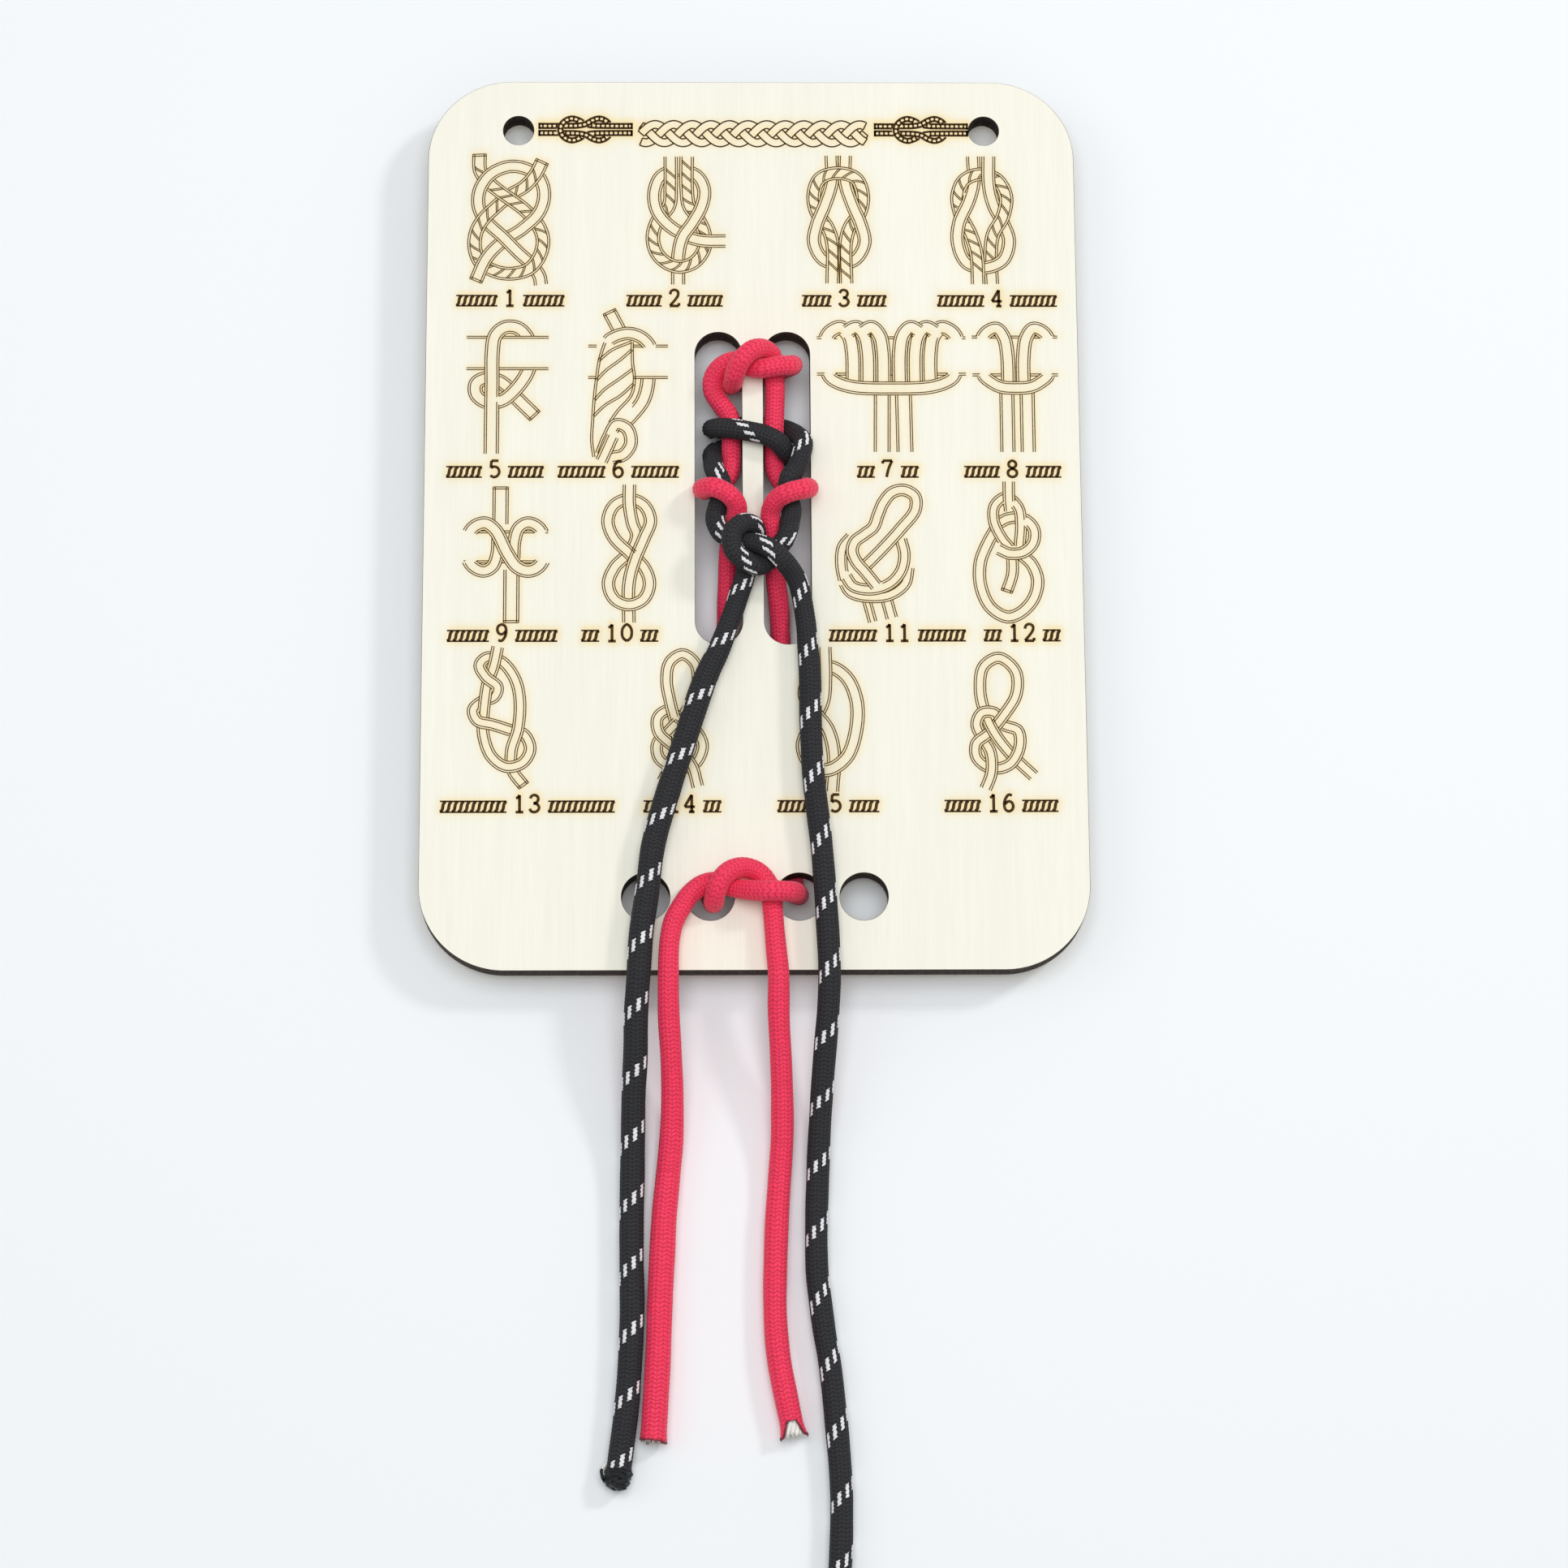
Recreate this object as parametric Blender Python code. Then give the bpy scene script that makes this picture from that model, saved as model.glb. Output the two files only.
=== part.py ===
"""Knot tying board: an A6 card of 4 mm plywood with two slots, four cord holes and two
hanging holes, and two 3 mm braided cords tied to it.

The red cord is knotted over the bar between the slots, hitched round the black one on
both sides, led behind the board and tied again through the two inner holes. The black
cord is wrapped twice round the bar and tied below. The board lies face up on its cords.

Frame: X across, Y up the board from its middle, +Z out of its face, and z = 0 is the
surface that the cords lie on. Sizes are in millimetres and become metres where a mesh
is made.
"""

import math

import bpy
import numpy as np

MM = 0.001

# Board: the outline and what is cut through all three plies.
BOARD_WIDTH = 105.0
BOARD_HEIGHT = 148.0
CORNER_RADIUS = 13.5
BACK_Z = 3.0
PLY_THICKNESSES = {"back_veneer": 1.2, "core_ply": 1.6, "front_veneer": 1.2}

HANGING_HOLE_DIAMETER = 5.0
HANGING_HOLE_FROM_SIDE = 14.6
HANGING_HOLE_FROM_TOP = 8.5

CORD_HOLE_DIAMETER = 7.6
CORD_HOLE_FROM_BOTTOM = 11.7
INNER_HOLE_SPACING = 13.9
OUTER_HOLE_SPACING = 34.1

# The slots and the bar between them, which the cords are tied to, keep their place about
# the board's middle.
SLOT_WIDTH = 7.55
SLOT_LENGTH = 52.2
SLOT_BAR_WIDTH = 3.4
SLOT_MIDDLE_Y = 4.7

ARC_STEP = math.radians(11.25)

# Cords: both are drawn thin where they are pulled tight and swell out on the free ends.
TIGHT_RADIUS = 1.5
RED_TAIL_RADIUS = 1.6
BLACK_LEFT_TAIL_RADIUS = 1.85
BLACK_RIGHT_TAIL_RADIUS = 1.75
JOIN_GAP = 0.3
SWELL_LENGTH = 12.0
LONGEST_STEP = 7.5
SHARPEST_STEP = math.radians(17)
END_STEP = 0.25

CORE_RADIUS = 1.05
CORE_LENGTH = 1.7
TIP_LENGTH = 3.2

# Each cord's route, stretch by stretch from its left end to its right one. A stretch
# ends where the next begins, under a crossing. Below HOLE_KNOT_TOP_Y the points go with
# the board's bottom edge, which is at ROUTE_BOTTOM_Y in these numbers.
HOLE_KNOT_TOP_Y = -50.0
ROUTE_BOTTOM_Y = -74.0
RED_ROUTE = {
    "red_tail_left": [
        (-15.7, -143.7, 1.65), (-15.5, -137, 1.65), (-15.2, -130.5, 1.65),
        (-15, -124, 1.65), (-14.9, -118, 1.65), (-14.6, -112, 1.65),
        (-14.2, -105.5, 1.9), (-14, -99.5, 2.7), (-13.8, -93, 4.2),
        (-13.7, -87, 5.9), (-13.8, -81, 7.5), (-13.7, -75, 8.75),
        (-13.4, -71, 8.8),
    ],
    "red_hole_knot_over": [
        (-13.2, -69, 8.8), (-12.7, -66.7, 8.8), (-11.6, -64.5, 8.8),
        (-10, -62.2, 8.8), (-8, -60.7, 8.7), (-6, -60.3, 8.5),
        (-4, -61, 8.8), (-1.8, -61.7, 9.7), (0.2, -62.2, 11),
        (2.4, -62.4, 11.9), (4.6, -62.3, 11.1), (6, -62, 9),
        (6.7, -61.8, 6.8), (6.9, -61.5, 4.4), (6.6, -60.5, 2.4),
        (6.1, -58.5, 1.2), (5.7, -56, 1.2),
    ],
    "red_back_right": [
        (5.3, -53.5, 1.2), (4.9, -49, 1.2), (4.6, -43, 1.2),
        (4.5, -37, 1.2), (4.4, -31, 1.2), (4.4, -25, 1.2),
        (4.4, -22.4, 1.3), (4.4, -20, 1.5), (4.3, -17.7, 2.1),
        (4.2, -15.5, 2.9), (4, -13.3, 3.9), (3.7, -11.2, 4.9),
        (3.5, -9, 5.9),
    ],
    "red_right_turn": [
        (3.4, -6.8, 6.7), (3.3, -4.5, 7.4), (2.8, -2.3, 8.4),
        (2.8, -0.2, 9.4), (3.7, 1.3, 11.1), (5.6, 2.1, 12.2),
        (7.7, 2.8, 11.7), (8.8, 3.6, 9.8), (7.9, 4.4, 7.6),
        (6.4, 5.1, 6.1), (4.6, 6.2, 5.2), (3.6, 8.2, 4.9),
        (3.4, 10.6, 4.6),
    ],
    "red_bar_knot": [
        (3.4, 13.2, 5.3), (3.4, 15.2, 5.7), (3.5, 17.6, 5.7),
        (3.6, 20, 6), (3.6, 22.3, 6.4), (3.4, 24.7, 6.8),
        (3.1, 26.4, 8.2), (1.7, 26.9, 10.1), (-0.1, 26.1, 11.7),
        (-1.8, 24.4, 11.8), (-2.8, 22.7, 10.4), (-3.1, 22.1, 8.1),
        (-3.4, 22.3, 5.7), (-3.4, 23.4, 3.5), (-2.6, 24.2, 1.5),
        (-0.3, 24.8, 1.2), (2.1, 25.4, 1.3), (4.3, 25.8, 2.3),
        (5.7, 25.8, 4.1), (6.5, 25.4, 6.4), (5.9, 24.5, 8.9),
        (3.9, 24, 10.1), (1.8, 23.6, 10.1), (-0.1, 24.2, 8.9),
        (-2.4, 25.4, 8.5), (-4.8, 24.8, 7.8), (-6.2, 23.2, 6.9),
        (-6.3, 21, 6.1), (-5, 19, 5.6), (-3.8, 17.2, 5.3),
    ],
    "red_left_turn": [
        (-3.3, 14.6, 5), (-3.4, 12.4, 4.9), (-3.4, 10, 4.9),
        (-3.7, 7.8, 4.8), (-4.7, 6.3, 4.9), (-6.5, 5, 5.6),
        (-7.7, 4.1, 7.2), (-8, 3.6, 9.5), (-6.2, 3.2, 11.5),
        (-4.1, 2.2, 11.4), (-2.7, 0.8, 10.1), (-2.7, -0.8, 8.6),
        (-3.4, -2.4, 7), (-3.7, -4.4, 5.8),
    ],
    "red_back_left": [
        (-3.9, -6.7, 4.8), (-4, -9, 4.2), (-4.1, -11.3, 3.6),
        (-4.2, -13.6, 3), (-4.2, -15.9, 2.2), (-4.3, -18.1, 1.6),
        (-4.3, -20.4, 1.3), (-4.4, -22.8, 1.2), (-4.7, -28, 1.2),
        (-4.9, -33, 1.2), (-5.2, -39, 1.2), (-5.4, -45, 1.2),
        (-5.8, -50.5, 1.2), (-6.2, -54, 1.2),
    ],
    "red_hole_knot_under": [
        (-6.5, -56.2, 1.2), (-6.7, -58.5, 1.4), (-6.8, -60.8, 2.3),
        (-6.7, -62.3, 4.2), (-6.5, -63.1, 6.4), (-6.4, -63.5, 8.8),
        (-6.1, -62.4, 10.9), (-5.2, -60.4, 11.7), (-3.6, -58.9, 11.1),
        (-1.6, -58.3, 9.9), (0.5, -58.9, 9.1), (2, -60.7, 8.8),
        (2.6, -63, 8.8), (2.8, -65.4, 8.8),
    ],
    "red_tail_right": [
        (3, -68, 8.8), (3.3, -71.5, 8.8), (3.6, -75, 8.75),
        (3.9, -81, 7.5), (4, -87, 5.9), (3.9, -93, 4.2),
        (3.6, -99.5, 2.7), (3.5, -105.5, 1.9), (3.3, -112, 1.65),
        (3.3, -118, 1.65), (3.2, -124.4, 1.65), (3.3, -129.4, 1.65),
        (3.7, -134.4, 1.65), (4.6, -140.2, 1.65), (5.2, -143.2, 1.65),
    ],
}

BLACK_ROUTE = {
    "black_tail_left": [
        (-21, -149.5, 1.9), (-20.2, -141.5, 1.9), (-19.8, -134, 1.9),
        (-19.6, -126, 1.9), (-19.4, -118, 1.9), (-19.2, -111.8, 2),
        (-19.1, -105.5, 2.2), (-19, -99.3, 3), (-18.9, -93.2, 4.5),
        (-18.6, -87.2, 6.3), (-18.5, -81, 7.9), (-18.1, -75, 9),
        (-17.7, -68.5, 9.1), (-16.8, -62.1, 9.1), (-15.8, -54.3, 9.1),
        (-13.3, -45.2, 9.1), (-10.8, -37.3, 9.1), (-8.5, -29.9, 9),
        (-7.2, -26.4, 8.9), (-5.5, -22.7, 8.8), (-3.8, -18.2, 8.7),
    ],
    "black_knot_loop": [
        (-3, -15.9, 8.6), (-2.3, -13.6, 8.6), (-1.5, -11.3, 8.7),
        (-0.9, -8.8, 8.6), (0.2, -6.6, 8.6), (0.5, -4.3, 9.3),
        (-0.1, -3, 11.2), (-1.9, -3.25, 12.85), (-3.4, -5.1, 13.45),
        (-3.2, -7.6, 13.2), (-1.4, -9.1, 12.3), (0.8, -9.6, 11.2),
        (2.5, -8.3, 10.1), (3.9, -6.4, 10.1), (5.3, -4.4, 10.1),
        (5.8, -2, 9.3), (6.1, 0.4, 8.9),
    ],
    "black_wrap": [
        (5.56, 2.6, 9), (5.75, 5.1, 9.95), (6.9, 7.1, 9.4),
        (7.7, 9.4, 9.1), (8, 11.7, 8.6), (7.1, 13.4, 6.7),
        (6.5, 14.5, 4.8), (5.2, 15.6, 3.1), (3.2, 16.3, 1.8),
        (0.9, 16.7, 1.2), (-1.6, 16.7, 1.3), (-3.9, 16.4, 1.8),
        (-6, 15.7, 3.2), (-6.5, 14.9, 5.5), (-5.1, 14.4, 7.7),
        (-2.9, 13.9, 8.6), (-0.6, 13.4, 8.9), (1.8, 12.8, 9),
        (3.9, 11.8, 8.7), (5.3, 10.6, 7.3), (6.5, 10.4, 5.3),
        (6.1, 11.1, 3.1), (4.2, 11.6, 1.6), (1.9, 12.1, 1.3),
        (-0.5, 12.6, 1.3), (-3, 12.8, 1.5), (-5.2, 12.4, 2.4),
        (-6.4, 11.1, 4.1), (-6.4, 9.4, 5.9), (-6.2, 7.5, 7.6),
        (-5.4, 5.7, 8.65),
    ],
    "black_knot_cross": [
        (-4.98, 4.4, 8.67), (-4.8, 3, 8.47), (-5.6, 0.9, 8.6),
        (-6, -1.5, 9), (-5.1, -3.6, 9.3), (-3.1, -4.9, 9.7),
        (-1.5, -5.9, 11.2), (0.7, -6.4, 12.4), (2.7, -7.5, 13.2),
        (4.5, -9, 12.4), (5.9, -10.2, 10.6), (7, -11.9, 9.5),
        (7.6, -14.2, 9),
    ],
    "black_tail_right": [
        (8, -16.6, 8.8), (8.3, -19, 8.9), (8.5, -22.1, 8.95),
        (8.8, -26.6, 9), (8.9, -36, 9), (9.3, -44, 9),
        (10.4, -54.3, 9), (11.1, -64.7, 9), (11.5, -74.9, 8.9),
        (11.3, -80, 8), (10.9, -85, 6.7), (10.4, -91, 5),
        (9.8, -100.6, 2.7), (9.6, -105.6, 2.1), (9.4, -110.6, 1.9),
        (9.3, -115.7, 1.8), (9.4, -120.7, 1.8), (9.8, -124.5, 1.8),
        (10.4, -129.4, 1.8), (11.2, -134.4, 1.8), (12.2, -144.3, 1.8),
        (12.8, -153, 1.8), (12.8, -159, 1.8), (12.5, -165.5, 1.8),
        (11.8, -172, 1.8), (10.7, -180, 1.8), (9.4, -190, 1.8),
        (8.6, -200, 1.8), (8.5, -207, 1.8),
    ],
}

PRESSED_STRETCHES = (
    "red_hole_knot_over", "red_back_right", "red_bar_knot",
    "red_back_left", "red_hole_knot_under", "black_wrap",
)


def clear_scene():
    for obj in list(bpy.data.objects):
        bpy.data.objects.remove(obj, do_unlink=True)


def material(name, color, roughness):
    mat = bpy.data.materials.new(name)
    mat.use_nodes = True
    shader = mat.node_tree.nodes["Principled BSDF"]
    shader.inputs["Base Color"].default_value = (*color, 1.0)
    shader.inputs["Roughness"].default_value = roughness
    shader.inputs["Metallic"].default_value = 0.0
    mat.diffuse_color = (*color, 1.0)
    return mat


def arc(center, radius, start, sweep):
    """Points round an arc, the two ends among them."""
    steps = max(round(abs(sweep) / ARC_STEP), 1)
    angles = [start + sweep * i / steps for i in range(steps + 1)]
    return [(center[0] + radius * math.cos(a), center[1] + radius * math.sin(a)) for a in angles]


def card_outline():
    x = BOARD_WIDTH / 2 - CORNER_RADIUS
    y = BOARD_HEIGHT / 2 - CORNER_RADIUS
    points = []
    for center, start in (((x, y), 0), ((-x, y), 90), ((-x, -y), 180), ((x, -y), 270)):
        points += arc(center, CORNER_RADIUS, math.radians(start), math.pi / 2)
    return points


def round_hole(x, y, diameter):
    return arc((x, y), diameter / 2, 0, 2 * math.pi)[:-1]


def slot_outline(side):
    """A slot beside the bar, side being -1 or 1."""
    x = side * (SLOT_BAR_WIDTH + SLOT_WIDTH) / 2
    radius = SLOT_WIDTH / 2
    straight = SLOT_LENGTH / 2 - radius
    top = arc((x, SLOT_MIDDLE_Y + straight), radius, 0, math.pi)
    bottom = arc((x, SLOT_MIDDLE_Y - straight), radius, math.pi, math.pi)
    return top + bottom


def board_profile():
    hanging_x = BOARD_WIDTH / 2 - HANGING_HOLE_FROM_SIDE
    hanging_y = BOARD_HEIGHT / 2 - HANGING_HOLE_FROM_TOP
    cord_y = CORD_HOLE_FROM_BOTTOM - BOARD_HEIGHT / 2
    loops = [card_outline()]
    for side in (-1, 1):
        loops.append(round_hole(side * hanging_x, hanging_y, HANGING_HOLE_DIAMETER))
        loops.append(round_hole(side * INNER_HOLE_SPACING / 2, cord_y, CORD_HOLE_DIAMETER))
        loops.append(round_hole(side * OUTER_HOLE_SPACING / 2, cord_y, CORD_HOLE_DIAMETER))
        loops.append(slot_outline(side))
    return loops


def build_ply(name, bottom, thickness, mat):
    """One ply: the board's profile, filled and extruded."""
    data = bpy.data.curves.new(name, "CURVE")
    data.dimensions = "2D"
    data.fill_mode = "BOTH"
    data.extrude = thickness / 2 * MM
    for loop in board_profile():
        spline = data.splines.new("POLY")
        spline.points.add(len(loop) - 1)
        for point, (x, y) in zip(spline.points, loop):
            point.co = (x * MM, y * MM, 0, 1)
        spline.use_cyclic_u = True
    ply = bpy.data.objects.new(name, data)
    ply.location.z = (bottom + thickness / 2) * MM
    data.materials.append(mat)
    bpy.context.scene.collection.objects.link(ply)
    return ply


def build_board():
    birch = material("birch_veneer", (0.86, 0.75, 0.56), 0.55)
    core = material("birch_core", (0.62, 0.46, 0.30), 0.7)
    bottom = BACK_Z
    for name, thickness in PLY_THICKNESSES.items():
        build_ply(name, bottom, thickness, core if name == "core_ply" else birch)
        bottom += thickness


def placed(stretch):
    """A stretch's points, with those near the bottom edge moved as that edge is."""
    moved = -BOARD_HEIGHT / 2 - ROUTE_BOTTOM_Y
    return [(x, y + moved if y < HOLE_KNOT_TOP_Y else y, z) for x, y, z in stretch]


def smooth_line(points, spacing=0.1):
    """A centripetal Catmull-Rom curve through the points, as a dense evenly spaced line."""
    points = np.array(points, float)
    ends = [2 * points[0] - points[1]], [2 * points[-1] - points[-2]]
    points = np.concatenate([ends[0], points, ends[1]])
    knots = np.concatenate([[0], np.cumsum(np.linalg.norm(np.diff(points, axis=0), axis=1) ** 0.5)])
    line = []
    for i in range(1, len(points) - 2):
        t = np.linspace(knots[i], knots[i + 1], 40, endpoint=False)[:, None]
        p, k = points[i - 1:i + 3], knots[i - 1:i + 3]
        a = [(k[j + 1] - t) / (k[j + 1] - k[j]) * p[j] + (t - k[j]) / (k[j + 1] - k[j]) * p[j + 1]
             for j in range(3)]
        b = [(k[j + 2] - t) / (k[j + 2] - k[j]) * a[j] + (t - k[j]) / (k[j + 2] - k[j]) * a[j + 1]
             for j in range(2)]
        line.append((k[2] - t) / (k[2] - k[1]) * b[0] + (t - k[1]) / (k[2] - k[1]) * b[1])
    line = np.concatenate(line + [points[-2:-1]])
    along = lengths_along(line)
    even = np.linspace(0, along[-1], round(along[-1] / spacing) + 1)
    return np.stack([np.interp(even, along, line[:, axis]) for axis in range(3)], axis=1)


def lengths_along(line):
    return np.concatenate([[0], np.cumsum(np.linalg.norm(np.diff(line, axis=0), axis=1))])


def ring_stations(line, start, end):
    """Places from start to end along the line: close together in bends and at the two ends,
    so that each end is cut square, and far apart elsewhere."""
    along = lengths_along(line)
    heading = np.diff(line, axis=0)
    heading /= np.linalg.norm(heading, axis=1, keepdims=True)
    turning = np.arccos(np.clip((heading[1:] * heading[:-1]).sum(axis=1), -1, 1))
    step = along[1]
    turning = np.convolve(np.concatenate([[0], turning, [0]]), np.ones(9) / 9, "same")
    need = np.cumsum(np.maximum(turning / SHARPEST_STEP, step / LONGEST_STEP))
    first, last = np.interp((start + END_STEP, end - END_STEP), along, need)
    count = max(math.ceil(last - first), 2)
    inner = np.interp(np.linspace(first, last, count + 1), need, along)
    return np.concatenate([[start], inner, [end]])


def tube(name, line, stations, radii, mat):
    """A round cord as a curve object that follows the line."""
    along = lengths_along(line)
    data = bpy.data.curves.new(name, "CURVE")
    data.dimensions = "3D"
    data.bevel_depth = TIGHT_RADIUS * MM
    data.bevel_resolution = 2
    data.use_fill_caps = True
    spline = data.splines.new("POLY")
    spline.points.add(len(stations) - 1)
    for point, station, radius in zip(spline.points, stations, radii):
        place = [np.interp(station, along, line[:, axis]) * MM for axis in range(3)]
        point.co = (*place, 1)
        point.radius = radius / TIGHT_RADIUS
    spline.use_smooth = True
    data.materials.append(mat)
    cord = bpy.data.objects.new(name, data)
    bpy.context.scene.collection.objects.link(cord)
    return cord


def press_flat(cord, floor):
    """Turns a cord's tube into a mesh and cuts it off where the board's weight flattens it."""
    graph = bpy.context.evaluated_depsgraph_get()
    mesh = bpy.data.meshes.new_from_object(cord.evaluated_get(graph))
    name = cord.name
    bpy.data.objects.remove(cord, do_unlink=True)
    pressed = bpy.data.objects.new(name, mesh)
    bpy.context.scene.collection.objects.link(pressed)
    weld = pressed.modifiers.new("close_caps", "WELD")
    weld.merge_threshold = 0.00001
    cut = pressed.modifiers.new("flat_underside", "BOOLEAN")
    cut.operation = "DIFFERENCE"
    cut.solver = "EXACT"
    cut.object = floor
    return pressed


def build_floor_cutter():
    """The space under the surface, which the pressed cords keep out of."""
    side = 2 * BOARD_HEIGHT * MM
    depth = 5 * MM
    bottom = [(-side, -side, -depth), (side, -side, -depth), (side, side, -depth), (-side, side, -depth)]
    top = [(x, y, 0.0) for x, y, _ in bottom]
    faces = [(3, 2, 1, 0), (4, 5, 6, 7), (0, 1, 5, 4), (1, 2, 6, 5), (2, 3, 7, 6), (3, 0, 4, 7)]
    mesh = bpy.data.meshes.new("surface_cutter")
    mesh.from_pydata(bottom + top, [], faces)
    cutter = bpy.data.objects.new("surface_cutter", mesh)
    cutter.hide_render = True
    cutter.display_type = "WIRE"
    bpy.context.scene.collection.objects.link(cutter)
    return cutter


def build_cord(route, left_radius, right_radius, mat, floor):
    """All stretches of one cord, each its own object, with a gap where two meet."""
    stretches = [placed(stretch) for stretch in route.values()]
    line = smooth_line([point for stretch in stretches for point in stretch])
    along = lengths_along(line)
    starts = [along[np.argmin(np.linalg.norm(line - stretch[0], axis=1))] for stretch in stretches]
    bounds = [0.0] + starts[1:] + [along[-1]]
    knot_start, knot_end = bounds[1], bounds[-2]
    for index, name in enumerate(route):
        start = bounds[index] + (JOIN_GAP / 2 if index else 0)
        end = bounds[index + 1] - (JOIN_GAP / 2 if index < len(route) - 1 else 0)
        stations = ring_stations(line, start, end)
        left = np.clip((knot_start - stations) / SWELL_LENGTH, 0, 1)
        right = np.clip((stations - knot_end) / SWELL_LENGTH, 0, 1)
        radii = TIGHT_RADIUS + left * (left_radius - TIGHT_RADIUS) + right * (right_radius - TIGHT_RADIUS)
        cord = tube(name, line, stations, radii, mat)
        if name in PRESSED_STRETCHES:
            press_flat(cord, floor)
    print(f"{next(iter(route)).split('_')[0]} cord: {along[-1]:.0f} mm long")
    return line


def build_end_piece(name, line, at_start, length, radii, mat):
    """A short piece past one end of a cord, in line with it."""
    end, before = (line[0], line[10]) if at_start else (line[-1], line[-11])
    heading = (end - before) / np.linalg.norm(end - before)
    first = end + heading * JOIN_GAP
    piece = np.array([first + heading * length * i / 20 for i in range(21)])
    stations = np.linspace(0, length, len(radii))
    tube(name, piece, stations, radii, mat)


def least_gap(lines):
    """The least clear distance between strands that aren't neighbours on one cord."""
    points = np.concatenate([line[::4] for line in lines])
    cord = np.concatenate([np.full(len(line[::4]), i) for i, line in enumerate(lines)])
    place = np.concatenate([np.arange(len(line[::4])) for line in lines])
    least = math.inf
    for i in range(len(points)):
        far = (cord != cord[i]) | (np.abs(place - place[i]) > 4 * TIGHT_RADIUS / 0.4)
        least = min(least, np.linalg.norm(points[far] - points[i], axis=1).min())
    return least - 2 * TIGHT_RADIUS


def build_cords():
    red = material("red_braid", (0.72, 0.02, 0.07), 0.8)
    white = material("white_core", (0.9, 0.9, 0.88), 0.85)
    black = material("black_braid", (0.018, 0.019, 0.021), 0.75)
    melted = material("melted_tip", (0.01, 0.01, 0.01), 0.35)
    floor = build_floor_cutter()

    red_line = build_cord(RED_ROUTE, RED_TAIL_RADIUS, RED_TAIL_RADIUS, red, floor)
    core_radii = (CORE_RADIUS, 0.95 * CORE_RADIUS, 0.7 * CORE_RADIUS)
    build_end_piece("red_core_left", red_line, True, CORE_LENGTH, core_radii, white)
    build_end_piece("red_core_right", red_line, False, CORE_LENGTH, core_radii, white)

    black_line = build_cord(
        BLACK_ROUTE, BLACK_LEFT_TAIL_RADIUS, BLACK_RIGHT_TAIL_RADIUS, black, floor
    )
    tip_profile = (0.92, 0.88, 0.8, 0.62, 0.3)
    left_tip = [share * BLACK_LEFT_TAIL_RADIUS for share in tip_profile]
    right_tip = [share * BLACK_RIGHT_TAIL_RADIUS for share in tip_profile]
    build_end_piece("black_tip_left", black_line, True, TIP_LENGTH, left_tip, melted)
    build_end_piece("black_tip_right", black_line, False, TIP_LENGTH, right_tip, melted)
    print(f"least gap between strands: {least_gap([red_line, black_line]):.2f} mm")


clear_scene()
build_board()
build_cords()
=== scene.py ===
import math

import bpy
import numpy as np
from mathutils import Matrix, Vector
from mathutils.geometry import delaunay_2d_cdt


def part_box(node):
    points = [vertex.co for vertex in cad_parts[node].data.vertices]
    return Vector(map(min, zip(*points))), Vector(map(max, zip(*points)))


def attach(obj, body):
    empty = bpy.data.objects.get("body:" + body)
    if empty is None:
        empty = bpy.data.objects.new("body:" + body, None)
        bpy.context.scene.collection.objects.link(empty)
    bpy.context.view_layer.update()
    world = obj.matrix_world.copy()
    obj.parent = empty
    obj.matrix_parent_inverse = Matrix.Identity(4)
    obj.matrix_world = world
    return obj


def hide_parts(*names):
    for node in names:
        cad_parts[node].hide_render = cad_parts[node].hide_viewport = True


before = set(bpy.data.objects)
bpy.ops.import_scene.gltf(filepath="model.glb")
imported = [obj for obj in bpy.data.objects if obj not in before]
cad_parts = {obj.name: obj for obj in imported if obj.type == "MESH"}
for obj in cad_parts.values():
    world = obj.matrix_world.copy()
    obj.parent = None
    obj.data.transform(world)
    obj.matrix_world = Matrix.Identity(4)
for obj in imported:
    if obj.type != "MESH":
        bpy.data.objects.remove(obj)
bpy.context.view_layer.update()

# The photograph's viewpoint: the board lies on a table and is seen from above, a little
# from its lower edge. The longest cord runs out of the bottom of the picture.
CAMERA_PLACE = (-0.00894, -0.20738, 0.67035)
CAMERA_TURNS = (13.82, -1.14, -0.09)
SENSOR_WIDTH = 36.0
LENS = 99.86

camera_data = bpy.data.cameras.new("camera")
camera_data.sensor_width = SENSOR_WIDTH
camera_data.lens = LENS
camera_data.clip_start = 0.01
camera_data.clip_end = 20.0
camera = bpy.data.objects.new("camera", camera_data)
camera.location = CAMERA_PLACE
camera.rotation_mode = "ZYX"
camera.rotation_euler = [math.radians(turn) for turn in CAMERA_TURNS]
bpy.context.scene.collection.objects.link(camera)
bpy.context.scene.camera = camera

# The table is a plain sheet of near-white paper, very slightly blue.
# The board and the cords lie on it, and it takes their soft shadows.
TABLE_HALF_WIDTH = 3.0
TABLE_COLOUR = (0.92, 0.955, 0.99, 1.0)


def feed(tree, socket, value):
    """Gives a socket its value, or links it to the socket of another node that has it."""
    if isinstance(value, bpy.types.NodeSocket):
        tree.links.new(value, socket)
    else:
        socket.default_value = value


def added(tree, kind, values=None, **settings):
    """A new node with these settings, and with these values or links in its sockets."""
    node = tree.nodes.new(kind)
    for setting, value in settings.items():
        setattr(node, setting, value)
    for socket, value in (values or {}).items():
        feed(tree, node.inputs[socket], value)
    return node


def new_finish(name, roughness, shine=0.5):
    """A new material, as rough and as shiny as this, with its node tree and its shader."""
    finish = bpy.data.materials.new(name)
    finish.use_nodes = True
    shader = finish.node_tree.nodes["Principled BSDF"]
    shader.inputs["Roughness"].default_value = roughness
    shader.inputs["Specular IOR Level"].default_value = shine
    return finish, finish.node_tree, shader


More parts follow.
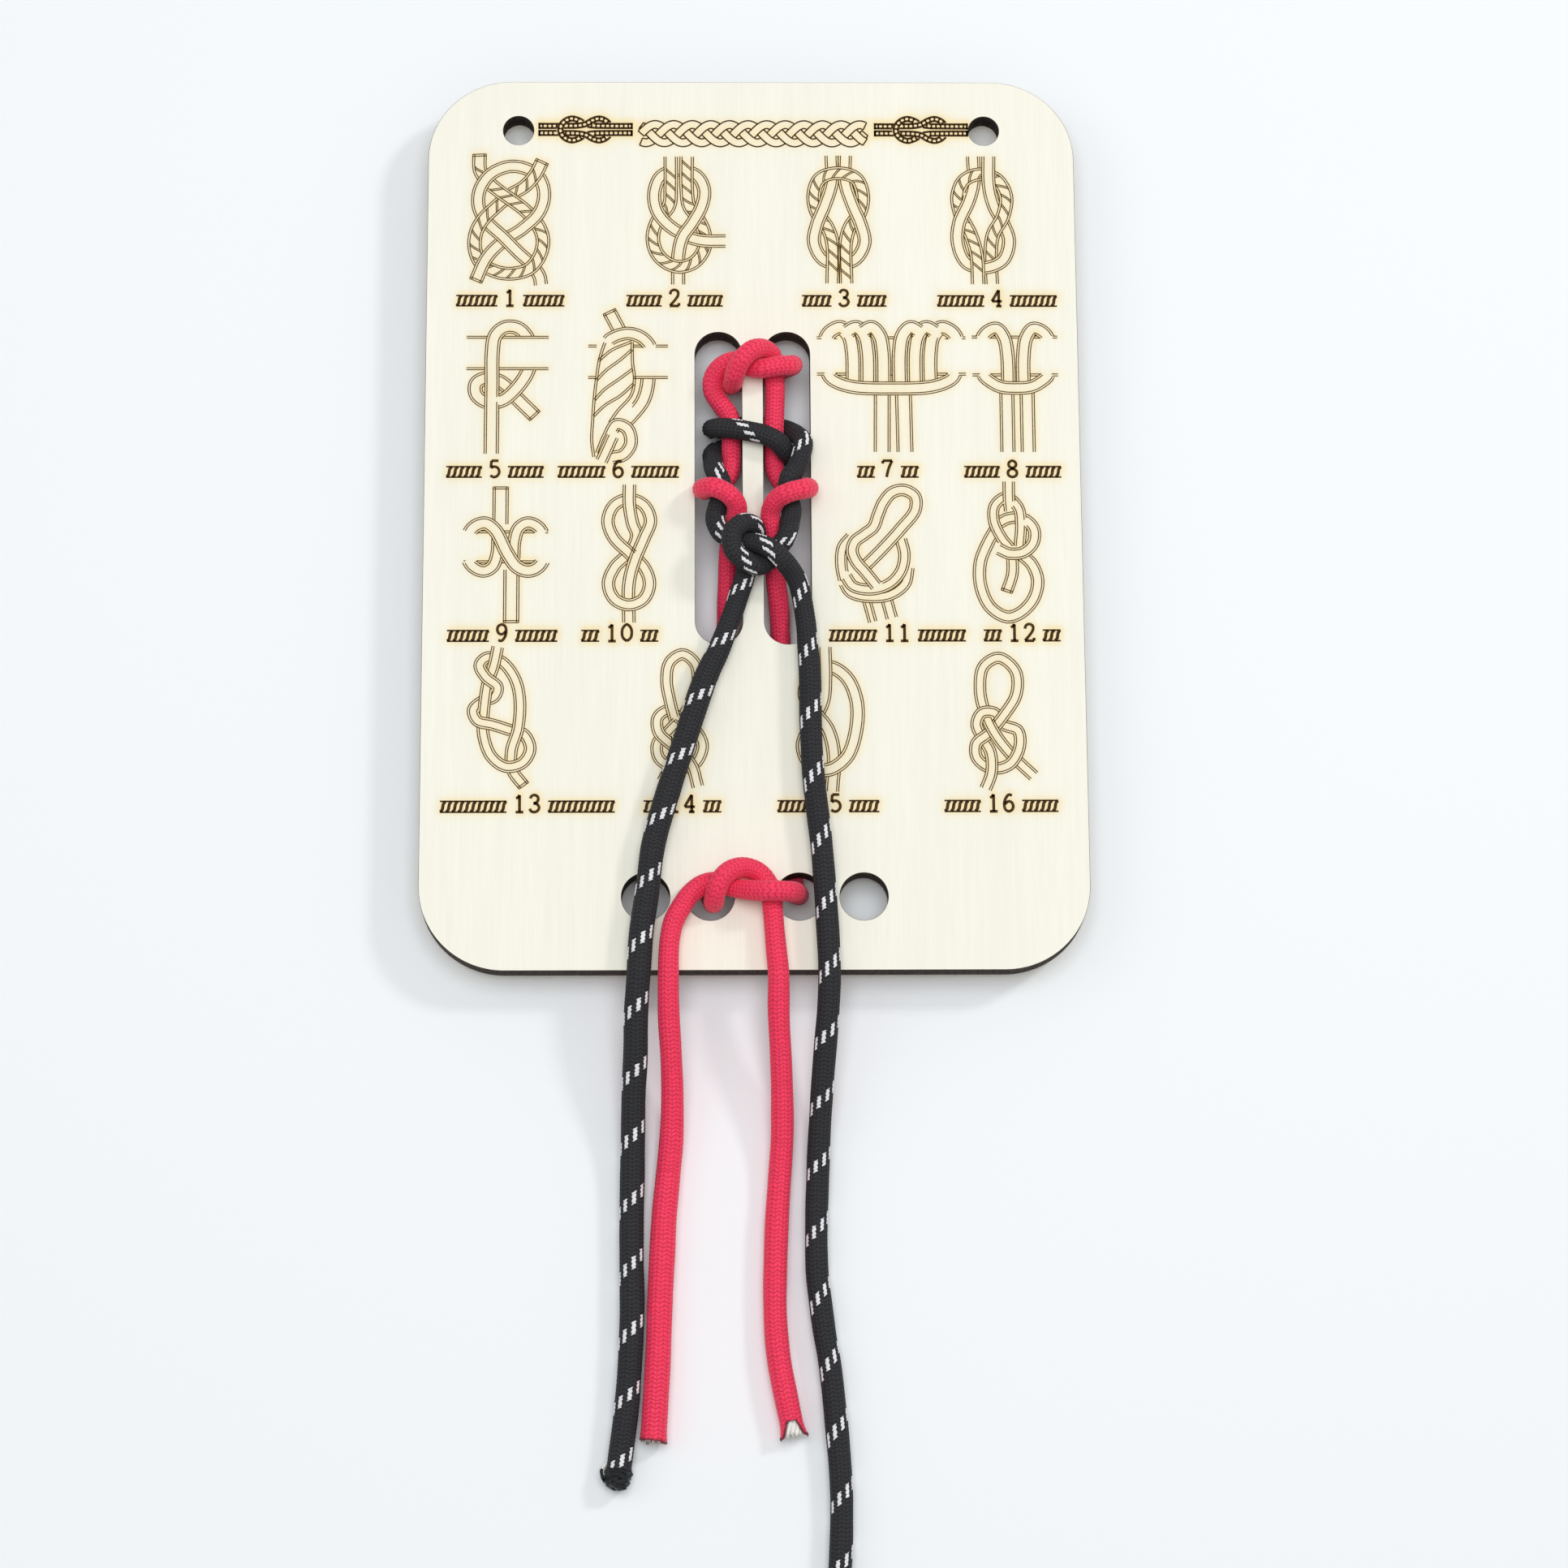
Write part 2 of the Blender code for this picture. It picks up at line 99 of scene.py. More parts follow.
paper, _, paper_shader = new_finish("table_paper", 0.9, 0.1)
paper_shader.inputs["Base Color"].default_value = TABLE_COLOUR
table_corners = [(x * TABLE_HALF_WIDTH, y * TABLE_HALF_WIDTH, 0)
                 for x, y in ((-1, -1), (1, -1), (1, 1), (-1, 1))]
table_mesh = bpy.data.meshes.new("table")
table_mesh.from_pydata(table_corners, [], [(0, 1, 2, 3)])
table_mesh.materials.append(paper)
table = bpy.data.objects.new("table", table_mesh)
bpy.context.scene.collection.objects.link(table)

# The light is plain and soft: even light from all round, wide white panels overhead and to
# the left, and a smaller lamp up to the right, whose shadows fall to the lower left.
ALL_ROUND_TINT = (1.0, 0.972, 0.92, 1.0)
ALL_ROUND_STRENGTH = 0.35
SEEN_SKY_TINT = (0.90, 0.935, 0.97, 1.0)
PANEL_TINT = (0.97, 0.985, 1.0)
LAMP_TINT = (1.0, 0.985, 0.96)


def soft_lamp(name, heading, distance, width, power, tint, aim=(0, 0, 0)):
    """A round lamp this far from the board along its heading, which shines back at it."""
    heading = Vector(heading).normalized()
    lamp_data = bpy.data.lights.new(name, "AREA")
    lamp_data.shape = "DISK"
    lamp_data.size = width
    lamp_data.energy = power
    lamp_data.color = tint
    lamp = bpy.data.objects.new(name, lamp_data)
    lamp.location = Vector(aim) + heading * distance
    lamp.rotation_mode = "QUATERNION"
    lamp.rotation_quaternion = heading.to_track_quat("Z", "Y")
    bpy.context.scene.collection.objects.link(lamp)


sky = bpy.data.worlds.new("even_light")
bpy.context.scene.world = sky
sky.use_nodes = True
sky_nodes = sky.node_tree.nodes
all_round = sky_nodes["Background"]
all_round.inputs["Color"].default_value = ALL_ROUND_TINT
all_round.inputs["Strength"].default_value = ALL_ROUND_STRENGTH
seen_sky = added(sky.node_tree, "ShaderNodeBackground", {"Color": SEEN_SKY_TINT, "Strength": 1.0})
ray_kind = added(sky.node_tree, "ShaderNodeLightPath").outputs
ray_kinds = {0: ray_kind["Is Camera Ray"], 1: ray_kind["Is Glossy Ray"]}
seen_or_mirrored = added(sky.node_tree, "ShaderNodeMath", ray_kinds, operation="MAXIMUM")
skies = {"Fac": seen_or_mirrored.outputs[0], 1: all_round.outputs[0], 2: seen_sky.outputs[0]}
sky_choice = added(sky.node_tree, "ShaderNodeMixShader", skies)
feed(sky.node_tree, sky_nodes["World Output"].inputs["Surface"], sky_choice.outputs[0])

soft_lamp("window_lamp", (0.70, 0.42, 0.62), 1.3, 0.2, 3.9, LAMP_TINT, aim=(0, -0.03, 0))
soft_lamp("overhead_panel", (0, 0, 1), 1.0, 0.8, 5.6, PANEL_TINT)
soft_lamp("left_panel", (-0.74, 0.12, 0.66), 1.2, 0.8, 1.1, PANEL_TINT)
bpy.context.scene.view_settings.view_transform = "Standard"

# The board is one card of three-ply birch plywood, cut out with a laser: two pale veneers on
# a browner core. It has two hanging holes at the top, two slots with a narrow bar between
# them and four cord holes at the bottom, and the laser has charred all their walls.
MM = 0.001
CARD_WIDTH = 105.0
CARD_HEIGHT = 148.0
CARD_CORNER = 13.5
HANGING_HOLES = ((-37.9, 65.5), (37.9, 65.5))
HANGING_HOLE_RADIUS = 2.5
CORD_HOLES = ((-17.05, -62.3), (-6.95, -62.3), (6.95, -62.3), (17.05, -62.3))
CORD_HOLE_RADIUS = 3.8
ROUND_HOLES = [(hole, HANGING_HOLE_RADIUS) for hole in HANGING_HOLES]
ROUND_HOLES += [(hole, CORD_HOLE_RADIUS) for hole in CORD_HOLES]
SLOT_X = 5.475
SLOT_MIDDLE_Y = 4.7
SLOT_RADIUS = 3.775
SLOT_STRAIGHT = 22.325
STRAIGHT_STEPS = 60
CORNER_STEPS = 30
HOLE_STEPS = 72
SLOT_END_STEPS = 36
EDGE_WEAR = 0.06
FACE_GRID = 0.45
GRID_CLEAR = 0.8
ON_THE_CUT = 0.006
# Nearly all of a noise's values lie between these two.
NOISE_RANGE = (0.3, 0.7)


def round_arc(x, y, radius, start, sweep, steps):
    """Points along an arc round a middle, from one angle in degrees over a sweep."""
    turn = math.radians(start) + math.radians(sweep) * np.arange(steps + 1) / steps
    return np.stack([x + radius * np.cos(turn), y + radius * np.sin(turn)], axis=1)


def joined_arcs(arcs):
    """A closed line of these arcs and the straight stretches between them."""
    line = []
    for arc, after in zip(arcs, arcs[1:] + arcs[:1]):
        line += [arc, np.linspace(arc[-1], after[0], STRAIGHT_STEPS)[1:-1]]
    return np.concatenate(line)


def cut_lines(inset):
    """The card's outline and its openings, each drawn this far inside the wood."""
    x, y = CARD_WIDTH / 2 - CARD_CORNER, CARD_HEIGHT / 2 - CARD_CORNER
    corners = [round_arc(sx * x, sy * y, CARD_CORNER - inset, start, 90, CORNER_STEPS)
               for sx, sy, start in ((1, 1, 0), (-1, 1, 90), (-1, -1, 180), (1, -1, 270))]
    lines = [joined_arcs(corners)]
    for (hole_x, hole_y), radius in ROUND_HOLES:
        lines.append(round_arc(hole_x, hole_y, radius + inset, 0, 360, HOLE_STEPS)[:-1])
    for side in (-1, 1):
        ends = [round_arc(side * SLOT_X, SLOT_MIDDLE_Y + end * SLOT_STRAIGHT, SLOT_RADIUS + inset,
                          start, 180, SLOT_END_STEPS) for end, start in ((1, 0), (-1, 180))]
        lines.append(joined_arcs(ends))
    return lines


def wood_beside(points):
    """How far each point of the card is from the nearest cut, less than 0 outside the wood."""
    past = np.abs(points) - (CARD_WIDTH / 2 - CARD_CORNER, CARD_HEIGHT / 2 - CARD_CORNER)
    clear = CARD_CORNER - np.linalg.norm(np.maximum(past, 0), axis=1) - np.minimum(past.max(axis=1), 0)
    for hole, radius in ROUND_HOLES:
        clear = np.minimum(clear, np.linalg.norm(points - hole, axis=1) - radius)
    for side in (-1, 1):
        across = points[:, 0] - side * SLOT_X
        past_end = np.maximum(np.abs(points[:, 1] - SLOT_MIDDLE_Y) - SLOT_STRAIGHT, 0)
        clear = np.minimum(clear, np.hypot(across, past_end) - SLOT_RADIUS)
    return clear


def card_face(loops, extra, inset):
    """Triangles that fill the card between its outline and its openings."""
    points = np.concatenate(loops + extra)
    edges, first = [], 0
    for loop in loops:
        edges += [(first + i, first + (i + 1) % len(loop)) for i in range(len(loop))]
        first += len(loop)
    points, _, faces, _, _, _ = delaunay_2d_cdt(points.tolist(), edges, [], 0, 1e-6)
    points, faces = np.array([tuple(p) for p in points]), np.array(faces)
    return points, faces[wood_beside(points[faces].mean(axis=1)) > inset - ON_THE_CUT]


def new_piece(name, points, faces, materials, which=None):
    """A piece that rides on the body root: its points in mm, faces and the finish of each."""
    mesh = bpy.data.meshes.new(name)
    mesh.from_pydata((points * MM).tolist(), [], faces)
    for material in materials:
        mesh.materials.append(material)
    if which is not None:
        mesh.polygons.foreach_set("material_index", np.array(which, np.int32))
    piece = bpy.data.objects.new(name, mesh)
    bpy.context.scene.collection.objects.link(piece)
    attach(piece, "root")
    return piece


def ply(name, node, worn_low, worn_high, grid, face_material, wall_material):
    """One ply: two faces and the walls round them, with a fine edge where it is worn."""
    low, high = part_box(node)[0][2] / MM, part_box(node)[1][2] / MM
    levels = [(worn_low, low)] + ([(0, low + worn_low)] if worn_low else [])
    levels += ([(0, high - worn_high)] if worn_high else []) + [(worn_high, high)]
    rings = [(cut_lines(inset), z) for inset, z in levels]
    extra = []
    if grid:
        x, y = np.meshgrid(np.arange(-CARD_WIDTH / 2, CARD_WIDTH / 2, grid),
                           np.arange(-CARD_HEIGHT / 2, CARD_HEIGHT / 2, grid))
        inner = np.stack([x.ravel(), y.ravel()], axis=1)
        extra = [inner[wood_beside(inner) > GRID_CLEAR * grid]]
    upper, upper_faces = card_face(rings[-1][0], extra, worn_high)
    lower, lower_faces = card_face(rings[0][0], [], worn_low)
    points = [np.column_stack([lower, np.full(len(lower), low)]),
              np.column_stack([upper, np.full(len(upper), high)])]
    faces = lower_faces[:, ::-1].tolist() + (upper_faces + len(lower)).tolist()
    face_count = len(faces)
    count = len(lower) + len(upper)
    for which in range(len(rings[0][0])):
        size = len(rings[0][0][which])
        at = np.arange(size)
        for loops, z in rings:
            points.append(np.column_stack([loops[which], np.full(size, z)]))
        for level in range(len(rings) - 1):
            a, b = count + level * size + at, count + level * size + (at + 1) % size
            wall = np.stack([a, b, b + size, a + size], axis=1)
            faces += (wall if which == 0 else wall[:, ::-1]).tolist()
        count += size * len(rings)
    is_wall = np.arange(len(faces)) >= face_count
    piece = new_piece(name, np.concatenate(points), faces, [face_material, wall_material], is_wall)
    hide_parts(node)
    return piece


def streaks(tree, size, detail, offset=0.0):
    """Noise drawn out into streaks that measure this much in mm along each axis."""
    where = added(tree, "ShaderNodeTexCoord").outputs["Object"]
    scale = [1 / (side * MM) for side in size]
    stretch = {"Vector": where, "Scale": scale, "Location": (offset, 0, 0)}
    stretched = added(tree, "ShaderNodeMapping", stretch).outputs["Vector"]
    noise = {"Vector": stretched, "Scale": 1.0, "Detail": detail}
    return added(tree, "ShaderNodeTexNoise", noise).outputs["Fac"]


def ranged(tree, value, start, end, low, high):
    """A value that runs from start to end, changed to run from low to high."""
    span = {"Value": value, "From Min": start, "From Max": end, "To Min": low, "To Max": high}
    return added(tree, "ShaderNodeMapRange", span).outputs["Result"]


def shaded(tree, colour, by, low, high):
    """The colour made darker or lighter by noise."""
    factor = ranged(tree, by, *NOISE_RANGE, low, high)
    times = added(tree, "ShaderNodeVectorMath", {0: colour, "Scale": factor}, operation="SCALE")
    return times.outputs["Vector"]


def two_tone(tree, by, start, dark, end, pale):
    """A colour between two tones, by noise that runs from start to end."""
    ramp = added(tree, "ShaderNodeValToRGB", {"Fac": by})
    for stop, place, tone in zip(ramp.color_ramp.elements, (start, end), (dark, pale)):
        stop.position = place
        stop.color = tone
    return ramp.outputs["Color"]


def mixed(tree, share, first, second, blend="MIX"):
    """The first colour, with this share of the second mixed in."""
    colours = {"Factor": share, "A": first, "B": second}
    return added(tree, "ShaderNodeMix", colours, data_type="RGBA", blend_type=blend).outputs["Result"]


def bumpy(tree, shader, height, strength, depth):
    """Gives a shader fine bumps, this many mm deep."""
    bump = {"Height": height, "Strength": strength, "Distance": depth * MM}
    feed(tree, shader.inputs["Normal"], added(tree, "ShaderNodeBump", bump).outputs["Normal"])


def wood(name, colour, scorched=None):
    """Sanded birch with fine grain along the board, browned where the attribute scorch says."""
    finish, tree, shader = new_finish(name, 0.62, 0.25)
    fine = streaks(tree, (0.22, 9.0, 0.22), 3.0, 3.1)
    shade = shaded(tree, colour[:3], streaks(tree, (7.0, 90.0, 7.0), 3.0), 0.985, 1.012)
    shade = shaded(tree, shade, streaks(tree, (1.1, 26.0, 1.1), 3.0, 8.3), 0.985, 1.012)
    shade = shaded(tree, shade, fine, 0.975, 1.012)
    if scorched:
        amount = added(tree, "ShaderNodeAttribute", attribute_name="scorch").outputs["Fac"]
        shade = mixed(tree, amount, shade, scorched, "MULTIPLY")
    feed(tree, shader.inputs["Base Color"], shade)
    bumpy(tree, shader, fine, 0.35, 0.02)
    return finish


def charred(name, colour, pale):
    """A laser-cut wall: brown char with fine streaks from face to face."""
    finish, tree, shader = new_finish(name, 0.85, 0.2)
    noise = streaks(tree, (0.35, 0.35, 2.5), 4.0)
    feed(tree, shader.inputs["Base Color"], two_tone(tree, noise, 0.32, colour, 0.72, pale))
    bumpy(tree, shader, noise, 0.5, 0.05)
    return finish


engraved_birch = wood("engraved_birch", (0.925, 0.915, 0.810, 1), scorched=(1.0, 0.84, 0.53, 1))
plain_birch = wood("plain_birch", (0.86, 0.77, 0.60, 1))
veneer_char = charred("charred_veneer", (0.020, 0.015, 0.012, 1), (0.075, 0.052, 0.036, 1))
core_char = charred("charred_core", (0.014, 0.011, 0.010, 1), (0.042, 0.030, 0.022, 1))

front_veneer = ply("front_veneer_sheet", "front_veneer", 0, EDGE_WEAR, FACE_GRID,
                   engraved_birch, veneer_char)
core_ply = ply("core_ply_sheet", "core_ply", 0, 0, None, plain_birch, core_char)
back_veneer = ply("back_veneer_sheet", "back_veneer", EDGE_WEAR, 0, None, plain_birch, veneer_char)

# The engraving is burnt into the front veneer in thin brown lines, with a pale yellow scorch
# beside them: sixteen drawings of common knots, a number under each, and ornaments at the top.
TALLER = 1.06
PAPER = 27.3
LINE_WIDTH = 0.17
LINE_GAP = 0.34
DRAWN_STEP = 0.15
CURVE_STEPS = 40
SAME_PLACE_STEPS = 12
HEIGHT_STEP = 0.01
UNCROSSED_HEIGHT = -0.5
OWN_REACH = 1.35
COVER_MARGIN = 0.03
CUT_END_POINTS = 15
TWIST_PITCH = 2.0
TWIST_LENGTH = 1.5
TWIST_CLEAR = 1.6
BURNT_LIFT = 0.02


def mirrored(middle, points):
    """The same points on the other side of a drawing's middle."""
    return [(2 * middle - x, *rest) for x, *rest in points]


# The turns of two hitches on the left of their ropes. Those on the right mirror them.
FRICTION_TURNS = (
    [(310, 1150, -1), (318, 1082, -1), (340, 1045, 1), (385, 1026, 1), (422, 1060, 1), (438, 1130, 1),
     (440, 1290, 1)],
    [(380, 1150, -1), (388, 1082, -1), (415, 1045, 1), (455, 1026, 1), (488, 1060, 1), (503, 1130, 1),
     (505, 1290, 1)],
    [(450, 1150, -1), (458, 1082, -1), (485, 1045, 1), (522, 1026, 1), (555, 1060, 1), (569, 1130, 1),
     (571, 1290, 1)],
)
COW_TURN = [(1005, 1150, -1), (1012, 1080, -1), (1036, 1045, 1), (1078, 1030, 1), (1110, 1070, 1),
            (1124, 1150, 1), (1126, 1285, 1)]
# Each knot has its place on the board in mm, then, on the paper that it was drawn on, its
# middle and its strands: kind, width, overs and unders where the ropes cross, ends that are
# drawn, and points. A third number in a point is how high the rope passes there.
KNOTS = (
    # Carrick bend
    ((-39.2, 50.2), (245, 540), (
        ("plain", 58, "ou", "|.", [(97, 815), (145, 712), (215, 640), (300, 585), (375, 510),
            (396, 430), (372, 355), (310, 315), (235, 308), (155, 345), (110, 415), (108, 490),
            (145, 555), (215, 620), (285, 690), (345, 745), (378, 795), (385, 832)]),
        ("laid", 60, "", "||", [(108, 252), (112, 325), (150, 378), (200, 420), (250, 455), (310, 500),
            (365, 560), (392, 630), (380, 700), (335, 760), (265, 782), (190, 775), (120, 735),
            (92, 670), (97, 600), (130, 540), (180, 490), (245, 435), (310, 395), (355, 345),
            (387, 283)]),
    )),
    # Sheet bend
    ((-10.9, 50.2), (1008, 540), (
        ("plain", 58, "uoouuoo", "..", [(980, 830), (980, 760), (982, 690), (1000, 620), (1045, 555),
            (1085, 480), (1095, 410), (1065, 350), (985, 322), (905, 350), (875, 420), (885, 500),
            (935, 565), (1010, 612), (1080, 635), (1190, 638)]),
        ("laid", 60, "", "..", [(947, 262), (947, 400), (940, 480), (890, 545), (868, 620), (885, 690),
            (930, 735), (985, 752), (1050, 732), (1095, 670), (1095, 600), (1062, 530), (1028, 480),
            (1018, 400), (1018, 262)]),
    )),
    # Reef knot
    ((14.6, 50.4), (385, 540), (
        ("plain", 58, "uouuou", "..", [(343, 262), (343, 380), (312, 480), (275, 570), (262, 650),
            (300, 722), (372, 745), (445, 722), (485, 650), (470, 570), (433, 480), (402, 380),
            (402, 262)]),
        ("laid", 60, "", "..", [(343, 830), (343, 650), (320, 580), (275, 515), (262, 440), (290, 365),
            (371, 340), (452, 365), (480, 440), (467, 515), (422, 580), (402, 650), (402, 830)]),
    )),
    # Granny knot
    ((37.6, 50.3), (1012, 540), (
        ("plain", 58, "uououo", "..", [(972, 262), (972, 380), (950, 460), (905, 560), (898, 650),
            (935, 735), (1012, 758), (1095, 725), (1125, 640), (1100, 560), (1060, 480), (1040, 390),
            (1040, 262)]),
        ("laid", 60, "", "..", [(985, 830, 2), (980, 700, 2), (955, 610, 0), (912, 520, 0),
            (900, 440, 0), (930, 370, 0), (1000, 342, 0), (1075, 365, 0), (1115, 440, 0),
            (1100, 530, 0), (1055, 610, 0), (1042, 700, 0), (1045, 830, 0)]),
    )),
    # Half hitch
    ((-39.4, 21.5), (234, 1278), (
        ("bar", 155, "", "..", [(55, 1130), (415, 1130)]),
        ("plain", 62, "uoouu", ".|", [(168, 1568), (168, 1400), (168, 1250), (168, 1130), (180, 1055),
            (222, 1018), (280, 1022), (322, 1066), (340, 1140), (322, 1215), (270, 1290), (215, 1335),
            (150, 1345), (100, 1310), (100, 1262), (150, 1240), (215, 1262), (280, 1330), (358, 1405)]),
    )),
    # Timber hitch
    ((-20.5, 21.8), (756, 1278), (
        ("bar", 155, "", "..", [(595, 1176), (945, 1176)]),
        ("blank", 160, "", "..", [(712, 1100, 1), (710, 1300, 1), (708, 1400, 1)]),
        ("plain", 60, "", "|.", [(686, 955, 1), (740, 1055, 1)]),
        ("plain", 58, "", "..", [(664, 1172, -1), (672, 1108, -1), (690, 1078, 2), (765, 1052, 2),
            (822, 1066, 2), (856, 1095, 2), (866, 1115, -1), (868, 1190, -1)]),
        ("plain", 62, "", "..", [(856, 1165, -1), (856, 1270, -1), (835, 1345, -1), (790, 1405, -1),
            (735, 1460, -1)]),
        ("line", 9, "", "..", [(668, 1092, 2), (645, 1165, 2), (632, 1250, 2), (622, 1340, 2),
            (616, 1430, 2), (612, 1520, 2), (622, 1590, 2)]),
        ("line", 9, "", "..", [(788, 1090, 2), (790, 1180, 2), (798, 1250, 2), (785, 1320, 2),
            (725, 1390, 2), (690, 1440, 2)]),
        ("line", 9, "", "..", [(640, 1172, 2), (698, 1125, 2), (786, 1088, 2)]),
        ("line", 9, "", "..", [(630, 1258, 2), (675, 1212, 2), (735, 1168, 2), (788, 1122, 2)]),
        ("line", 9, "", "..", [(624, 1342, 2), (665, 1298, 2), (730, 1252, 2), (790, 1208, 2)]),
        ("line", 9, "", "..", [(620, 1412, 2), (670, 1365, 2), (735, 1325, 2), (795, 1272, 2)]),
        ("plain", 56, "", "..", [(700, 1592, 3), (750, 1580, 3), (783, 1530, 3), (768, 1468, 3),
            (720, 1450, 3), (688, 1500, 3), (655, 1580, 3)]),
        ("plain", 52, "", "..", [(655, 1608, 4), (704, 1500, 4)]),
    )),
    # Friction hitch
    ((22.3, 21.8), (605, 1278), (
        ("bar", 178, "", "..", [(280, 1150), (935, 1150)]),
        ("plain", 70, "", "..", [(562, 1568, 1), (566, 1290, 1)]),
        ("plain", 70, "", "..", [(662, 1568, 1), (658, 1290, 1)]),
        *[("plain", 66, "", "..", turn) for turn in FRICTION_TURNS],
        *[("plain", 66, "", "..", mirrored(607.5, turn)) for turn in FRICTION_TURNS],
        ("plain", 60, "", "..", [(322, 1180, -1), (330, 1232, -1), (352, 1256, 2), (430, 1284, 2),
            (607, 1292, 2), (785, 1284, 2), (863, 1256, 2), (885, 1232, -1), (893, 1180, -1)]),
    )),
    # Cow hitch
    ((42.4, 21.8), (1159, 1278), (
        ("bar", 185, "", "..", [(968, 1150), (1345, 1150)]),
        ("plain", 62, "", "..", [(1118, 1568, 1), (1118, 1285, 1)]),
        ("plain", 62, "", "..", [(1207, 1568, 1), (1207, 1285, 1)]),
        ("plain", 60, "", "..", COW_TURN),
        ("plain", 60, "", "..", mirrored(1159, COW_TURN)),
        ("plain", 58, "", "..", [(1008, 1180, -1), (1018, 1235, -1), (1042, 1258, 2), (1090, 1284, 2),
            (1159, 1290, 2), (1228, 1284, 2), (1276, 1258, 2), (1300, 1235, -1), (1310, 1180, -1)]),
    )),
    # Clove hitch
    ((-39.4, -6.3), (223, 288), (
        ("bar", 145, "", "..", [(42, 262), (408, 262)]),
        ("plain", 66, "", "|.", [(200, 5, 1), (200, 165, 1)]),
        ("plain", 66, "", "|.", [(250, 585, 1), (250, 360, 1)]),
        ("plain", 56, "", "..", [(392, 270, -1), (384, 208, -1), (360, 175, 1), (318, 160, 1),
            (280, 182, 1), (262, 235, 1), (258, 310, 1)]),
        ("plain", 56, "", "..", [(55, 255, -1), (63, 318, -1), (88, 350, 1), (130, 365, 1),
            (168, 345, 1), (188, 290, 1), (192, 220, 1)]),
        ("plain", 60, "", "..", [(56, 270, -1), (64, 208, -1), (88, 176, 2), (134, 162, 2),
            (178, 192, 2), (232, 292, 2), (275, 348, 2), (322, 364, 2), (362, 350, 2), (386, 318, -1),
            (394, 260, -1)]),
    )),
    # Figure of eight
    ((-19.8, -6.3), (756, 288), (
        ("plain", 54, "ou", "..", [(758, -5), (758, 80), (772, 160), (790, 215), (757, 288), (695, 350),
            (668, 420), (695, 485), (757, 510), (820, 485), (846, 420), (822, 350), (757, 288),
            (690, 222), (665, 150), (692, 85), (757, 58), (822, 85), (850, 150), (822, 225), (782, 320),
            (757, 420), (757, 585)]),
    )),
    # Overhand loop
    ((19.6, -6.5), (533, 288), (
        ("plain", 37, "", "..", [(514, 578, 0), (490, 490, 0)]),
        ("plain", 50, "", "..", [(597, 562, 0), (572, 470, 0)]),
        ("plain", 50, "", "..", [(640, 225, 1), (655, 290, 1), (640, 360, 1), (590, 415, 1),
            (510, 440, 1), (430, 425, 1), (400, 385, 1)]),
        ("plain", 50, "", "..", [(672, 345, 0.5), (655, 415, 0.5), (590, 462, 0.5), (500, 472, 0.5),
            (420, 452, 0.5), (392, 410, 0.5)]),
        ("plain", 50, "", "..", [(392, 400, 0.8), (380, 330, 0.8), (388, 260, 0.8), (425, 215, 0.8)]),
        ("plain", 53, "", "..", [(532, 425, 1.2), (484, 366, 1.2), (446, 322, 1.2), (428, 276, 1.2),
            (440, 236, 1.2), (482, 204, 1.2), (522, 172, 1.2), (542, 122, 1.2), (566, 68, 1.2),
            (606, 24, 1.2), (658, 14, 1.2), (704, 42, 1.2), (704, 100, 1.2), (640, 180, 1.2),
            (560, 266, 0.9), (480, 344, 0.9)]),
    )),
    # Bowline
    ((40.4, -6.3), (1116, 288), (
        ("plain", 50, "", "..", [(1130, -18, 1.5), (1130, 60, 1.5), (1134, 110, -1)]),
        ("plain", 54, "", "..", [(1185, 300, 0), (1225, 340, 0), (1248, 410, 0), (1225, 490, 0),
            (1165, 548, 0), (1110, 562, 0), (1040, 520, 0), (1000, 430, 0), (1000, 330, 0),
            (1035, 245, 0), (1068, 190, 0)]),
        ("plain", 50, "", "|.", [(1112, 455, 0), (1138, 380, 0), (1140, 300, 0)]),
        ("plain", 52, "", "..", [(1085, 160, 0.5), (1130, 140, 0.5), (1190, 142, 0.5), (1235, 185, 1.5),
            (1232, 245, 1.5), (1190, 285, 1.5), (1130, 292, 1.5), (1080, 272, 1.5)]),
        ("plain", 48, "", "..", [(1172, 262, 1), (1180, 170, 1), (1170, 95, 1), (1118, 50, 1),
            (1068, 85, 1), (1062, 150, 1), (1095, 225, 1), (1130, 268, 1)]),
    )),
    # Stevedore stopper
    ((-39.7, -33.1), (216, 1026), (
        ("plain", 50, "ou", ".|", [(195, 735), (178, 815), (155, 880), (142, 960), (135, 1040),
            (138, 1110), (172, 1195), (235, 1238), (305, 1222), (338, 1165), (312, 1105), (250, 1085),
            (175, 1062), (110, 1045), (92, 1000), (130, 965), (182, 945), (195, 905), (145, 862),
            (118, 812), (150, 780), (215, 800), (270, 870), (292, 960), (285, 1080), (258, 1170),
            (262, 1250), (312, 1318)]),
    )),
    # Slip knot
    ((-11.2, -33.3), (1001, 1026), (
        ("plain", 50, "ou", "..", [(1065, 1318), (1035, 1225), (960, 1150), (897, 1090), (892, 1030),
            (932, 1000), (985, 1030), (1060, 1090), (1085, 1150), (1050, 1222), (970, 1238),
            (900, 1200), (890, 1140), (940, 1085), (1010, 1010), (1062, 900), (1055, 805), (1000, 762),
            (945, 795), (930, 870), (950, 980), (975, 1080), (970, 1180), (915, 1295)]),
    )),
    # Overhand knot
    ((11.4, -33.3), (324, 1026), (
        ("plain", 58, "ou", "..", [(318, 732), (320, 860), (310, 960), (260, 1060), (222, 1150),
            (262, 1232), (330, 1248), (410, 1195), (452, 1080), (455, 960), (412, 860), (335, 815),
            (265, 850), (232, 930), (270, 1000), (330, 1080), (355, 1180), (345, 1338)]),
    )),
    # Lariat loop
    ((39.4, -33.7), (1105, 1026), (
        ("plain", 50, "ou", "..", [(1022, 1318), (1048, 1250), (1045, 1165), (1008, 1100), (988, 1045),
